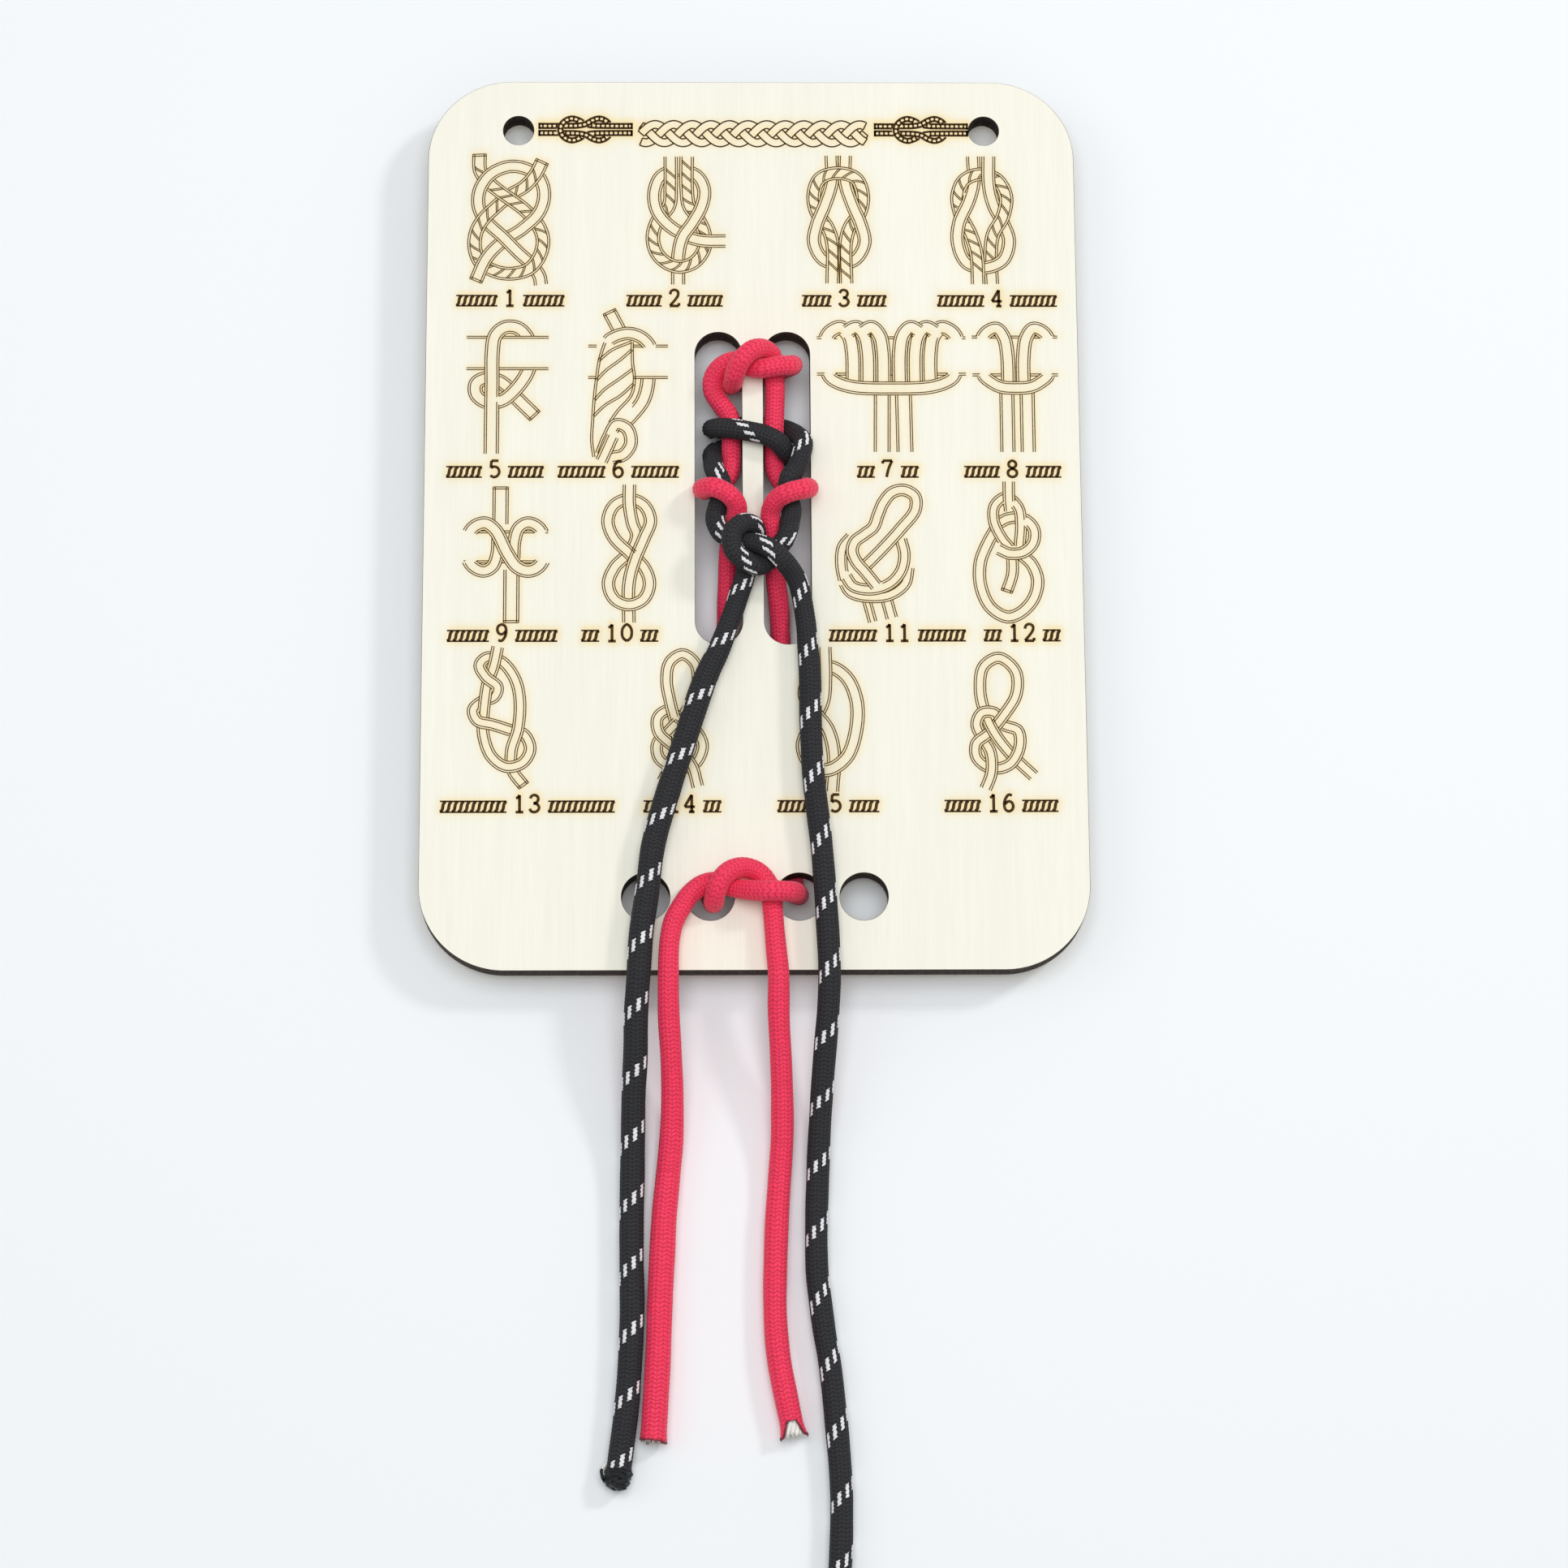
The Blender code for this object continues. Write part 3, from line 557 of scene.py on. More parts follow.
            (1012, 1000), (1065, 1000), (1105, 1050), (1165, 1075), (1172, 1140), (1128, 1215),
            (1050, 1232), (988, 1190), (985, 1130), (1040, 1085), (1110, 1005), (1162, 920),
            (1160, 825), (1090, 768), (1022, 805), (1005, 900), (1022, 990), (1062, 1080), (1130, 1170),
            (1230, 1265)]),
    )),
)


def lengths_along(line):
    """How far along a line each of its points is."""
    return np.concatenate([[0], np.cumsum(np.linalg.norm(np.diff(line, axis=0), axis=1))])


def smooth_line(points, spacing=0.1):
    """A centripetal Catmull-Rom curve through the points, as a dense evenly spaced line."""
    points = np.array(points, float)
    ends = [2 * points[0] - points[1]], [2 * points[-1] - points[-2]]
    points = np.concatenate([ends[0], points, ends[1]])
    knots = np.concatenate([[0], np.cumsum(np.linalg.norm(np.diff(points, axis=0), axis=1) ** 0.5)])
    line = []
    for i in range(1, len(points) - 2):
        t = np.linspace(knots[i], knots[i + 1], CURVE_STEPS, endpoint=False)[:, None]
        p, k = points[i - 1:i + 3], knots[i - 1:i + 3]
        a = [(k[j + 1] - t) / (k[j + 1] - k[j]) * p[j] + (t - k[j]) / (k[j + 1] - k[j]) * p[j + 1]
             for j in range(3)]
        b = [(k[j + 2] - t) / (k[j + 2] - k[j]) * a[j] + (t - k[j]) / (k[j + 2] - k[j]) * a[j + 1]
             for j in range(2)]
        line.append((k[2] - t) / (k[2] - k[1]) * b[0] + (t - k[1]) / (k[2] - k[1]) * b[1])
    line = np.concatenate(line + [points[-2:-1]])
    along = lengths_along(line)
    even = np.linspace(0, along[-1], round(along[-1] / spacing) + 1)
    return np.stack([np.interp(even, along, line[:, axis]) for axis in range(line.shape[1])], axis=1)


def headings(line):
    """The direction of a line at each of its points."""
    heading = np.gradient(line, axis=0)
    return heading / np.linalg.norm(heading, axis=1, keepdims=True)


def square_to(line):
    """The direction square to a drawn line, on its left, at each of its points."""
    heading = headings(line)
    return np.stack([-heading[:, 1], heading[:, 0]], axis=1)


def crossings(a, b, same):
    """Where two drawn lines cross, or where one crosses itself, as places along both."""
    r, s = np.diff(a, axis=0), np.diff(b, axis=0)
    w = b[None, :-1] - a[:-1, None]
    turn = r[:, None, 0] * s[None, :, 1] - r[:, None, 1] * s[None, :, 0]
    turn[np.abs(turn) < 1e-12] = 1e-12
    t = (w[..., 0] * s[None, :, 1] - w[..., 1] * s[None, :, 0]) / turn
    u = (w[..., 0] * r[:, None, 1] - w[..., 1] * r[:, None, 0]) / turn
    places = np.argwhere((t >= 0) & (t < 1) & (u >= 0) & (u < 1))
    return [(i, j) for i, j in places if not same or j > i + SAME_PLACE_STEPS]


def drawn_heights(strands, lines):
    """How high each drawn rope passes at each of its points, 1 over and -1 under."""
    met = [[] for _ in strands]
    for a in range(len(lines)):
        for b in range(a, len(lines)):
            if "line" in (strands[a][0], strands[b][0]):
                continue
            for i, j in crossings(lines[a], lines[b], a == b):
                met[a].append((i, b, j))
                met[b].append((j, a, i))
    known, heights = {}, []
    for index, (kind, _, signs, _, points) in enumerate(strands):
        at = np.arange(len(lines[index]))
        if len(points[0]) == 3:
            steps = [math.dist(p[:2], q[:2]) for p, q in zip(points, points[1:])]
            share = np.concatenate([[0], np.cumsum(steps)]) / sum(steps) * at[-1]
            heights.append(np.interp(at, share, [p[2] for p in points]) + HEIGHT_STEP * index)
            continue
        signs = list(signs)
        place, over, hold = [], [], []
        for i, other, j in sorted(met[index]):
            if (index, i, other, j) not in known:
                sign = (1 if signs.pop(0) == "o" else -1) if signs else -(over[-1] if over else -1)
                known[index, i, other, j] = sign
                known[other, j, index, i] = -sign
            place.append(i)
            over.append(known[index, i, other, j])
            hold.append(strands[other][1] / PAPER / 2 / DRAWN_STEP)
        if kind == "bar":
            heights.append(np.zeros(len(at)))
        elif place:
            apart = np.abs(at[:, None] - np.array(place)) - np.array(hold)
            heights.append(np.array(over, float)[apart.argmin(axis=1)] + HEIGHT_STEP * index)
        else:
            heights.append(np.full(len(at), UNCROSSED_HEIGHT + HEIGHT_STEP * index))
    return heights


class Drawing:
    """One drawing of ropes, which shows only what no rope above it covers."""

    def __init__(self, middle, strands):
        self.strands = strands
        self.lines = [smooth_line([((x - middle[0]) / PAPER, (middle[1] - y) / PAPER)
                                   for x, y, *_ in strand[4]], DRAWN_STEP) for strand in strands]
        self.heights = drawn_heights(strands, self.lines)
        self.lines = [line * (1, TALLER) for line in self.lines]
        self.across = [square_to(line) for line in self.lines]
        self.points = np.concatenate(self.lines)
        self.owner = np.concatenate([np.full(len(line), i) for i, line in enumerate(self.lines)])
        self.place = np.concatenate([np.arange(len(line)) for line in self.lines])
        self.height = np.concatenate(self.heights)
        self.half = np.array([0 if s[0] == "line" else s[1] / PAPER / 2 for s in strands])[self.owner]

    def seen(self, index, points, places):
        """The runs of a strand's drawn points that no higher strand covers."""
        apart = np.linalg.norm(points[:, None] - self.points, axis=2)
        width = self.strands[index][1] / PAPER
        further = np.abs(self.place - places[:, None]) * DRAWN_STEP > OWN_REACH * width
        higher = self.height > self.heights[index][places][:, None] + HEIGHT_STEP / 2
        covering = (apart < self.half - COVER_MARGIN) & ((self.owner != index) | further) & higher
        shown = ~covering.any(axis=1)
        splits = np.flatnonzero(np.diff(shown.astype(int))) + 1
        return [run for run, keep in zip(np.split(points, splits), np.split(shown, splits))
                if keep[0] and len(run) > 2]

    def beside(self, index, offset):
        """The seen runs of a line that follows a strand at this distance from its middle."""
        places = np.arange(len(self.lines[index]))
        return self.seen(index, self.lines[index] + self.across[index] * offset, places)

    def cut_end(self, index, at_start, insets):
        """The seen runs of the lines across a strand's cut end."""
        place = 0 if at_start else len(self.lines[index]) - 1
        across = self.across[index][place]
        inward = np.array([across[1], -across[0]]) * (1 if at_start else -1)
        half = self.strands[index][1] / PAPER / 2
        reach = np.linspace(-half, half, CUT_END_POINTS)[:, None]
        runs = []
        for inset in insets:
            end = self.lines[index][place] + inward * inset + across * reach
            runs += self.seen(index, end, np.full(CUT_END_POINTS, place))
        return runs

    def twist_marks(self, index, insets):
        """The seen runs of the slanting marks between the yarns of a laid rope."""
        line, across = self.lines[index], self.across[index]
        along = np.stack([across[:, 1], -across[:, 0]], axis=1)
        half = self.strands[index][1] / PAPER / 2
        runs = []
        for start in np.arange(TWIST_PITCH, len(line) * DRAWN_STEP - TWIST_CLEAR, TWIST_PITCH):
            mark = np.arange(int(start / DRAWN_STEP), int((start + TWIST_LENGTH) / DRAWN_STEP))
            share = np.linspace(-1, 1, len(mark))[:, None] * (half - insets[-1])
            for shift in insets:
                runs += self.seen(index, line[mark] + across[mark] * share + along[mark] * shift, mark)
        return runs

    def outlines(self, insets):
        """The seen runs of every strand's edges, twist marks and cut ends."""
        runs = []
        for index, (kind, width, _, ends, _) in enumerate(self.strands):
            for side in {"blank": (), "line": (1,)}.get(kind, (-1, 1)):
                for inset in insets:
                    runs += self.beside(index, side * (width / PAPER / 2 - inset))
            for at_start, mark in zip((True, False), ends):
                if mark == "|":
                    runs += self.cut_end(index, at_start, insets)
            if kind == "laid":
                runs += self.twist_marks(index, insets)
        return runs


def burnt_strokes(name, strokes, material):
    """Flat strokes just over the veneer: each is a run of points and a width in mm."""
    points, faces, count = [], [], 0
    for run, width in strokes:
        across = square_to(run) * width / 2
        points += [run + across, run - across]
        left = count + np.arange(len(run) - 1)
        right = left + len(run)
        faces.append(np.stack([right, right + 1, left + 1, left], axis=1))
        count += 2 * len(run)
    points = np.concatenate(points)
    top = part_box("front_veneer")[1][2] / MM + BURNT_LIFT
    points = np.column_stack([points, np.full(len(points), top)])
    piece = new_piece(name, points, np.concatenate(faces).tolist(), [material])


def burnt(name, colour, pale):
    """Burnt wood, a little uneven, as where the laser dwelt."""
    finish, tree, shader = new_finish(name, 0.9, 0.1)
    noise = streaks(tree, (0.6, 0.6, 0.6), 2.0)
    feed(tree, shader.inputs["Base Color"], two_tone(tree, noise, 0.3, colour, 0.7, pale))
    return finish


knot_strokes = []
for place, middle, strands in KNOTS:
    knot_strokes += [(run + place, LINE_WIDTH) for run in Drawing(middle, strands).outlines((0, LINE_GAP))]
burnt_line = burnt("burnt_line", (0.076, 0.039, 0.009, 1), (0.170, 0.094, 0.020, 1))
burnt_strokes("engraved_knots", knot_strokes, burnt_line)

# Under each knot stands its number, between two short lengths of drawn rope that are as long
# as a name would be. The strokes are burnt wide and dark.
DIGITS = {
    "0": [[(0.3, 0), (0.08, 0.2), (0.02, 0.5), (0.08, 0.8), (0.3, 1), (0.52, 0.8), (0.58, 0.5),
           (0.52, 0.2), (0.3, 0)]],
    "1": [[(0.1, 0.8), (0.22, 0.88), (0.3, 1)], [(0.3, 1), (0.3, 0.5), (0.3, 0)],
          [(0.08, 0), (0.3, 0), (0.52, 0)]],
    "2": [[(0.05, 0.72), (0.12, 0.92), (0.3, 1), (0.5, 0.9), (0.52, 0.68), (0.38, 0.42), (0.05, 0.02)],
          [(0.03, 0), (0.3, 0), (0.57, 0)], [(0.57, 0), (0.57, 0.09), (0.57, 0.18)]],
    "3": [[(0.05, 0.8), (0.14, 0.95), (0.3, 1), (0.48, 0.9), (0.5, 0.7), (0.4, 0.56), (0.24, 0.52)],
          [(0.24, 0.52), (0.45, 0.46), (0.56, 0.28), (0.48, 0.08), (0.28, 0), (0.1, 0.06), (0.03, 0.2)]],
    "4": [[(0.42, 0), (0.42, 0.5), (0.42, 1)], [(0.42, 1), (0.22, 0.65), (0.02, 0.3)],
          [(0.02, 0.3), (0.3, 0.3), (0.6, 0.3)], [(0.26, 0), (0.42, 0), (0.58, 0)]],
    "5": [[(0.52, 1), (0.3, 1), (0.12, 1)], [(0.12, 1), (0.1, 0.8), (0.09, 0.56)],
          [(0.09, 0.56), (0.26, 0.64), (0.48, 0.56), (0.57, 0.32), (0.46, 0.08), (0.26, 0), (0.05, 0.1)]],
    "6": [[(0.5, 0.93), (0.32, 0.98), (0.13, 0.75), (0.05, 0.4), (0.12, 0.1), (0.3, 0), (0.5, 0.1),
           (0.56, 0.32), (0.46, 0.54), (0.28, 0.58), (0.08, 0.42)]],
    "7": [[(0.03, 0.82), (0.03, 0.9), (0.03, 1)], [(0.03, 1), (0.3, 1), (0.57, 1)],
          [(0.57, 1), (0.36, 0.5), (0.24, 0)]],
    "8": [[(0.3, 0.53), (0.1, 0.68), (0.11, 0.88), (0.3, 1), (0.49, 0.88), (0.5, 0.68), (0.3, 0.53),
           (0.06, 0.36), (0.07, 0.12), (0.3, 0), (0.53, 0.12), (0.54, 0.36), (0.3, 0.53)]],
    "9": [[(0.1, 0.07), (0.28, 0.02), (0.47, 0.25), (0.55, 0.6), (0.48, 0.9), (0.3, 1), (0.1, 0.9),
           (0.04, 0.68), (0.14, 0.46), (0.32, 0.42), (0.52, 0.58)]],
}
DIGIT_HEIGHT = 2.75
DIGIT_PITCH = 2.35
DIGIT_SPACE = 0.6
STROKE_WIDTH = 0.46
NUMBER_CLEAR = 0.9
ROPE_HEIGHT = 1.75
ROPE_TWIST = ((-0.42, 0.05), (-0.12, 0.35), (0.12, 1.4), (0.42, 1.7))
ROPE_TWIST_PITCH = 0.95
ROPE_TWIST_WIDTH = 0.50
ROPE_EDGE_WIDTH = 0.27
# The middle and the length of each label, in mm, in the order of the drawings.
LABELS = (
    ((-39.0, 36.65), 19.0), ((-12.5, 36.65), 16.4), ((14.9, 36.65), 15.0), ((39.6, 36.65), 19.4),
    ((-41.2, 7.7), 16.0), ((-21.5, 7.7), 20.0), ((21.6, 7.7), 10.4), ((41.6, 7.7), 15.6),
    ((-39.8, -19.5), 17.6), ((-21.2, -19.5), 13.4), ((22.8, -19.5), 22.0), ((42.6, -19.5), 13.2),
    ((-35.6, -47.3), 29.0), ((-11.3, -47.3), 14.0), ((11.6, -47.3), 16.0), ((38.8, -47.3), 19.2),
)

label_strokes = []
twist_mark = smooth_line(ROPE_TWIST, DRAWN_STEP)
for number, ((x, y), length) in enumerate(LABELS, start=1):
    digits = str(number)
    base = y - DIGIT_HEIGHT / 2
    left = x - (len(digits) * DIGIT_PITCH - DIGIT_SPACE) / 2
    for place, digit in enumerate(digits):
        for stroke in DIGITS[digit]:
            run = smooth_line(np.array(stroke) * DIGIT_HEIGHT, DRAWN_STEP)
            label_strokes.append((run + (left + place * DIGIT_PITCH, base), STROKE_WIDTH))
    clear = len(digits) * DIGIT_PITCH / 2 + NUMBER_CLEAR
    twists = int((length / 2 - clear) / ROPE_TWIST_PITCH)
    for side in (-1, 1):
        for twist in range(twists):
            at = x + side * (clear + (twist + 0.5) * ROPE_TWIST_PITCH)
            label_strokes.append((twist_mark + (at, base), ROPE_TWIST_WIDTH))
        for edge in (0.0, ROPE_HEIGHT):
            near, far = (x + side * (clear + reach) for reach in (0, twists * ROPE_TWIST_PITCH))
            edge_line = np.linspace((near, base + edge), (far, base + edge), 12)
            label_strokes.append((edge_line, ROPE_EDGE_WIDTH))
burnt_dark = burnt("burnt_dark", (0.045, 0.023, 0.009, 1), (0.09, 0.048, 0.020, 1))
burnt_strokes("engraved_numbers", label_strokes, burnt_dark)

# Between the hanging holes are a hollow plait of three strands and, on each side of it, a
# reef knot of two beaded ropes, burnt nearly solid.
PLAIT_PLACE = (0.3, 65.0)
PLAIT_LENGTH = 36.5
PLAIT_PERIOD = 9.1
PLAIT_REACH = 1.5
PLAIT_STRAND = 1.35
PLAIT_LINE = 0.24
PLAIT_POINTS = 65
REEF_PLACES = ((-27.0, 65.7), (27.7, 65.7))
REEF_UPPER = [(-7.7, 0.58), (-4.9, 0.58), (-2.9, 0.60), (-1.3, 0.64), (0.0, 0.88), (1.1, 1.50),
              (2.2, 1.80), (3.2, 1.48), (3.9, 0.78), (4.1, 0)]
REEF = REEF_UPPER + [(x, -y) for x, y in REEF_UPPER[-2::-1]]
REEF_ROPE = 1.1
REEF_EDGE = 0.37
BEAD_PITCH = 0.8
BEAD_DARK_SHARE = 0.55

plait = []
for phase in (0, 1, 2):
    x = np.linspace(-PLAIT_LENGTH / 2, PLAIT_LENGTH / 2, PLAIT_POINTS)
    turn = np.linspace(0, PLAIT_LENGTH / PLAIT_PERIOD, PLAIT_POINTS) * 2 * math.pi + phase * 2 * math.pi / 3
    lane = np.stack([x * PAPER, -PLAIT_REACH * np.sin(turn) * PAPER, np.sin(2 * turn)], axis=1)
    plait.append(("plain", PLAIT_STRAND * PAPER, "", "||", lane.tolist()))
title_strokes = [(run + PLAIT_PLACE, PLAIT_LINE) for run in Drawing((0, 0), plait).outlines((0,))]

reef = Drawing((0, 0), [
    ("plain", REEF_ROPE * PAPER, "uouuou", "||", [(x * PAPER, y * PAPER) for x, y in REEF]),
    ("plain", REEF_ROPE * PAPER, "", "||", [(-x * PAPER, y * PAPER) for x, y in REEF]),
])
bead_steps = int(BEAD_PITCH / DRAWN_STEP)
dark_steps = int(BEAD_DARK_SHARE * BEAD_PITCH / DRAWN_STEP) + 1
for place in REEF_PLACES:
    title_strokes += [(run + place, REEF_EDGE) for run in reef.outlines((REEF_EDGE / 2,))]
    for run in reef.beside(0, 0) + reef.beside(1, 0):
        title_strokes += [(run[i:i + dark_steps] + place, REEF_ROPE - REEF_EDGE)
                          for i in range(0, len(run) - dark_steps, bead_steps)]
burnt_strokes("engraved_title_ornament", title_strokes, burnt_dark)

# The scorch is the veneer itself, browned beside the burnt lines by the laser's heat. It is
# strongest beside the wide dark strokes and fades over a millimetre or two.
SCORCH_GRID = 0.25
KNOT_HEAT = 0.72
LABEL_HEAT = 1.0
TITLE_HEAT = 0.85
FULL_HEAT_WIDTH = 0.3
NEAR_SCORCH = (2.6, 0.45)
FAR_SCORCH = (0.7, 1.2)


def spread_out(heat, strength, reach):
    """The heat as it spreads in the veneer, this strong and this far in mm."""
    span = np.arange(-3 * reach, 3 * reach + SCORCH_GRID / 2, SCORCH_GRID)
    kernel = np.exp(-(span / reach) ** 2 / 2)
    kernel /= kernel.sum()
    for axis in (0, 1):
        heat = np.apply_along_axis(np.convolve, axis, heat, kernel, "same")
    return strength * heat


card_half = np.array((CARD_WIDTH / 2, CARD_HEIGHT / 2))
columns, rows = int(CARD_WIDTH / SCORCH_GRID) + 1, int(CARD_HEIGHT / SCORCH_GRID) + 1
heat = np.zeros((columns, rows))
heated = (knot_strokes, KNOT_HEAT), (label_strokes, LABEL_HEAT), (title_strokes, TITLE_HEAT)
for strokes, weight in heated:
    for run, width in strokes:
        cell = np.round((run + card_half) / SCORCH_GRID).astype(int)
        inside = (cell >= 0).all(axis=1) & (cell < (columns, rows)).all(axis=1)
        np.add.at(heat, tuple(cell[inside].T), weight * width / FULL_HEAT_WIDTH)
scorch = 1.0 - np.exp(-(spread_out(heat, *NEAR_SCORCH) + spread_out(heat, *FAR_SCORCH)))

veneer_mesh = front_veneer.data
spots = np.empty(len(veneer_mesh.vertices) * 3)
veneer_mesh.vertices.foreach_get("co", spots)
cell = (spots.reshape(-1, 3)[:, :2] / MM + card_half) / SCORCH_GRID
cell = np.clip(np.round(cell).astype(int), 0, (columns - 1, rows - 1))
browned = scorch[tuple(cell.T)].astype(np.float32)
veneer_mesh.attributes.new("scorch", "FLOAT", "POINT").data.foreach_set("value", browned)

# The red cord is one polyester cord with a braided sheath, cut to half a metre. It is knotted
# over the bar, hitched round the black cord, led behind the board and tied in two holes.
RED_ROUTE = {
    "red_tail_left": [
        (-15.7, -143.7, 1.65), (-15.3, -137, 1.65), (-15, -130.5, 1.65), (-14.8, -124, 1.65),
        (-14.5, -118, 1.65), (-14.2, -112, 1.65), (-13.6, -105.5, 1.9), (-13.05, -99.5, 2.7),
        (-12.9, -93, 4.2), (-13.1, -87, 5.9), (-13.45, -81, 7.5), (-13.5, -75, 8.75), (-13.4, -71, 8.8),
    ],
    "red_hole_knot_over": [
        (-13.2, -69, 8.8), (-12.7, -66.7, 8.8), (-11.6, -64.5, 8.8), (-10, -62.2, 8.8),
        (-8, -60.7, 8.7), (-6, -60.3, 8.5), (-4, -61, 8.8), (-1.8, -61.7, 9.7), (0.2, -62.2, 11),
        (2.4, -62.4, 11.9), (4.6, -62.3, 11.1), (6, -62, 9), (6.7, -61.8, 6.8), (6.9, -61.5, 4.4),
        (6.6, -60.5, 2.4), (6.1, -58.5, 1.2), (5.7, -56, 1.2),
    ],
    "red_back_right": [
        (5.3, -53.5, 1.2), (4.9, -49, 1.2), (4.6, -43, 1.2), (4.5, -37, 1.2), (4.4, -31, 1.2),
        (4.4, -25, 1.2), (4.4, -22.4, 1.3), (4.4, -20, 1.5), (4.3, -17.7, 2.1), (4.2, -15.5, 2.9),
        (4, -13.3, 3.9), (3.7, -11.2, 4.9), (3.5, -9, 5.9),
    ],
    "red_right_turn": [
        (3.4, -6.8, 6.7), (3.3, -4.5, 7.4), (2.8, -2.3, 8.4), (2.8, -0.2, 9.4), (3.7, 1.3, 11.1),
        (5.6, 2.1, 12.2), (7.7, 2.8, 11.7), (8.8, 3.6, 9.8), (7.9, 4.4, 7.6), (6.4, 5.1, 6.1),
        (4.6, 6.2, 5.2), (3.6, 8.2, 4.9), (3.4, 10.6, 4.6),
    ],
    "red_bar_knot": [
        (3.4, 13.2, 5.3), (3.4, 15.2, 5.7), (3.5, 17.6, 5.7), (3.6, 20, 6), (3.6, 22.3, 6.4),
        (3.4, 24.7, 6.8), (3.1, 26.4, 8.2), (1.7, 26.9, 10.1), (-0.1, 26.1, 11.7), (-1.8, 24.4, 11.8),
        (-2.8, 22.7, 10.4), (-3.1, 22.1, 8.1), (-3.4, 22.3, 5.7), (-3.4, 23.4, 3.5), (-2.6, 24.2, 1.5),
        (-0.3, 24.8, 1.2), (2.1, 25.4, 1.3), (4.3, 25.8, 2.3), (5.7, 25.8, 4.1), (6.5, 25.4, 6.4),
        (5.9, 24.5, 8.9), (3.9, 24, 10.1), (1.8, 23.6, 10.1), (-0.1, 24.2, 8.9), (-2.4, 25.4, 8.5),
        (-4.8, 24.8, 7.8), (-6.2, 23.2, 6.9), (-6.3, 21, 6.1), (-5, 19, 5.6), (-3.8, 17.2, 5.3),
    ],
    "red_left_turn": [
        (-3.3, 14.6, 5), (-3.4, 12.4, 4.9), (-3.4, 10, 4.9), (-3.7, 7.8, 4.8), (-4.7, 6.3, 4.9),
        (-6.5, 5, 5.6), (-7.7, 4.1, 7.2), (-8, 3.6, 9.5), (-6.2, 3.2, 11.5), (-4.1, 2.2, 11.4),
        (-2.7, 0.8, 10.1), (-2.7, -0.8, 8.6), (-3.4, -2.4, 7), (-3.7, -4.4, 5.8),
    ],
    "red_back_left": [
        (-3.9, -6.7, 4.8), (-4, -9, 4.2), (-4.1, -11.3, 3.6), (-4.2, -13.6, 3), (-4.2, -15.9, 2.2),
        (-4.3, -18.1, 1.6), (-4.3, -20.4, 1.3), (-4.4, -22.8, 1.2), (-4.7, -28, 1.2), (-4.9, -33, 1.2),
        (-5.2, -39, 1.2), (-5.4, -45, 1.2), (-5.8, -50.5, 1.2), (-6.2, -54, 1.2),
    ],
    "red_hole_knot_under": [
        (-6.5, -56.2, 1.2), (-6.7, -58.5, 1.4), (-6.8, -60.8, 2.3), (-6.7, -62.3, 4.2),
        (-6.5, -63.1, 6.4), (-6.4, -63.5, 8.8), (-6.1, -62.4, 10.9), (-5.2, -60.4, 11.7),
        (-3.6, -58.9, 11.1), (-1.6, -58.3, 9.9), (0.5, -58.9, 9.1), (2, -60.7, 8.8), (2.6, -63, 8.8),
        (2.8, -65.4, 8.8),
    ],
    "red_tail_right": [
        (3, -68, 8.8), (3.3, -71.5, 8.8), (3.6, -75, 8.75), (3.6, -81, 7.5), (3.9, -87, 5.9),
        (4.1, -93, 4.2), (4.1, -99.5, 2.7), (3.7, -105.5, 1.9), (3.25, -112, 1.65), (3, -118, 1.65),
        (2.85, -124.4, 1.65), (3, -129.4, 1.65), (3.5, -134.4, 1.65), (4.6, -140.2, 1.65),
        (5.2, -143.2, 1.65),
    ],
}
RED_TIGHT_RADIUS = 1.62
RED_TAIL_RADIUS = 1.72
RED_LOOSENED = (0.17, 0.08)
RED_BEAD_LENGTH = 0.65
SWELL_LENGTH = 12.0
LOOSE_LENGTH = 60.0
# How much the thickness varies, over how many mm, and where each wave starts.
UNEVEN_WAVES = ((0.012, 3.1, 0), (0.008, 1.37, 1))
LYING_GAP = 0.03
STEPS_PER_BEAD = 4
END_STEP_CLEAR = 0.2


def untwisted_frames(line):
    """The heading at each point, and two directions across it that turn as little as they can."""
    heading = headings(line)
    across = np.zeros_like(line)
    last = np.array([0.0, 0.0, 1.0])
    for i, ahead in enumerate(heading):
        last = last - ahead * (last @ ahead)
        last /= np.linalg.norm(last)
        across[i] = last
    return heading, across, np.cross(heading, across)


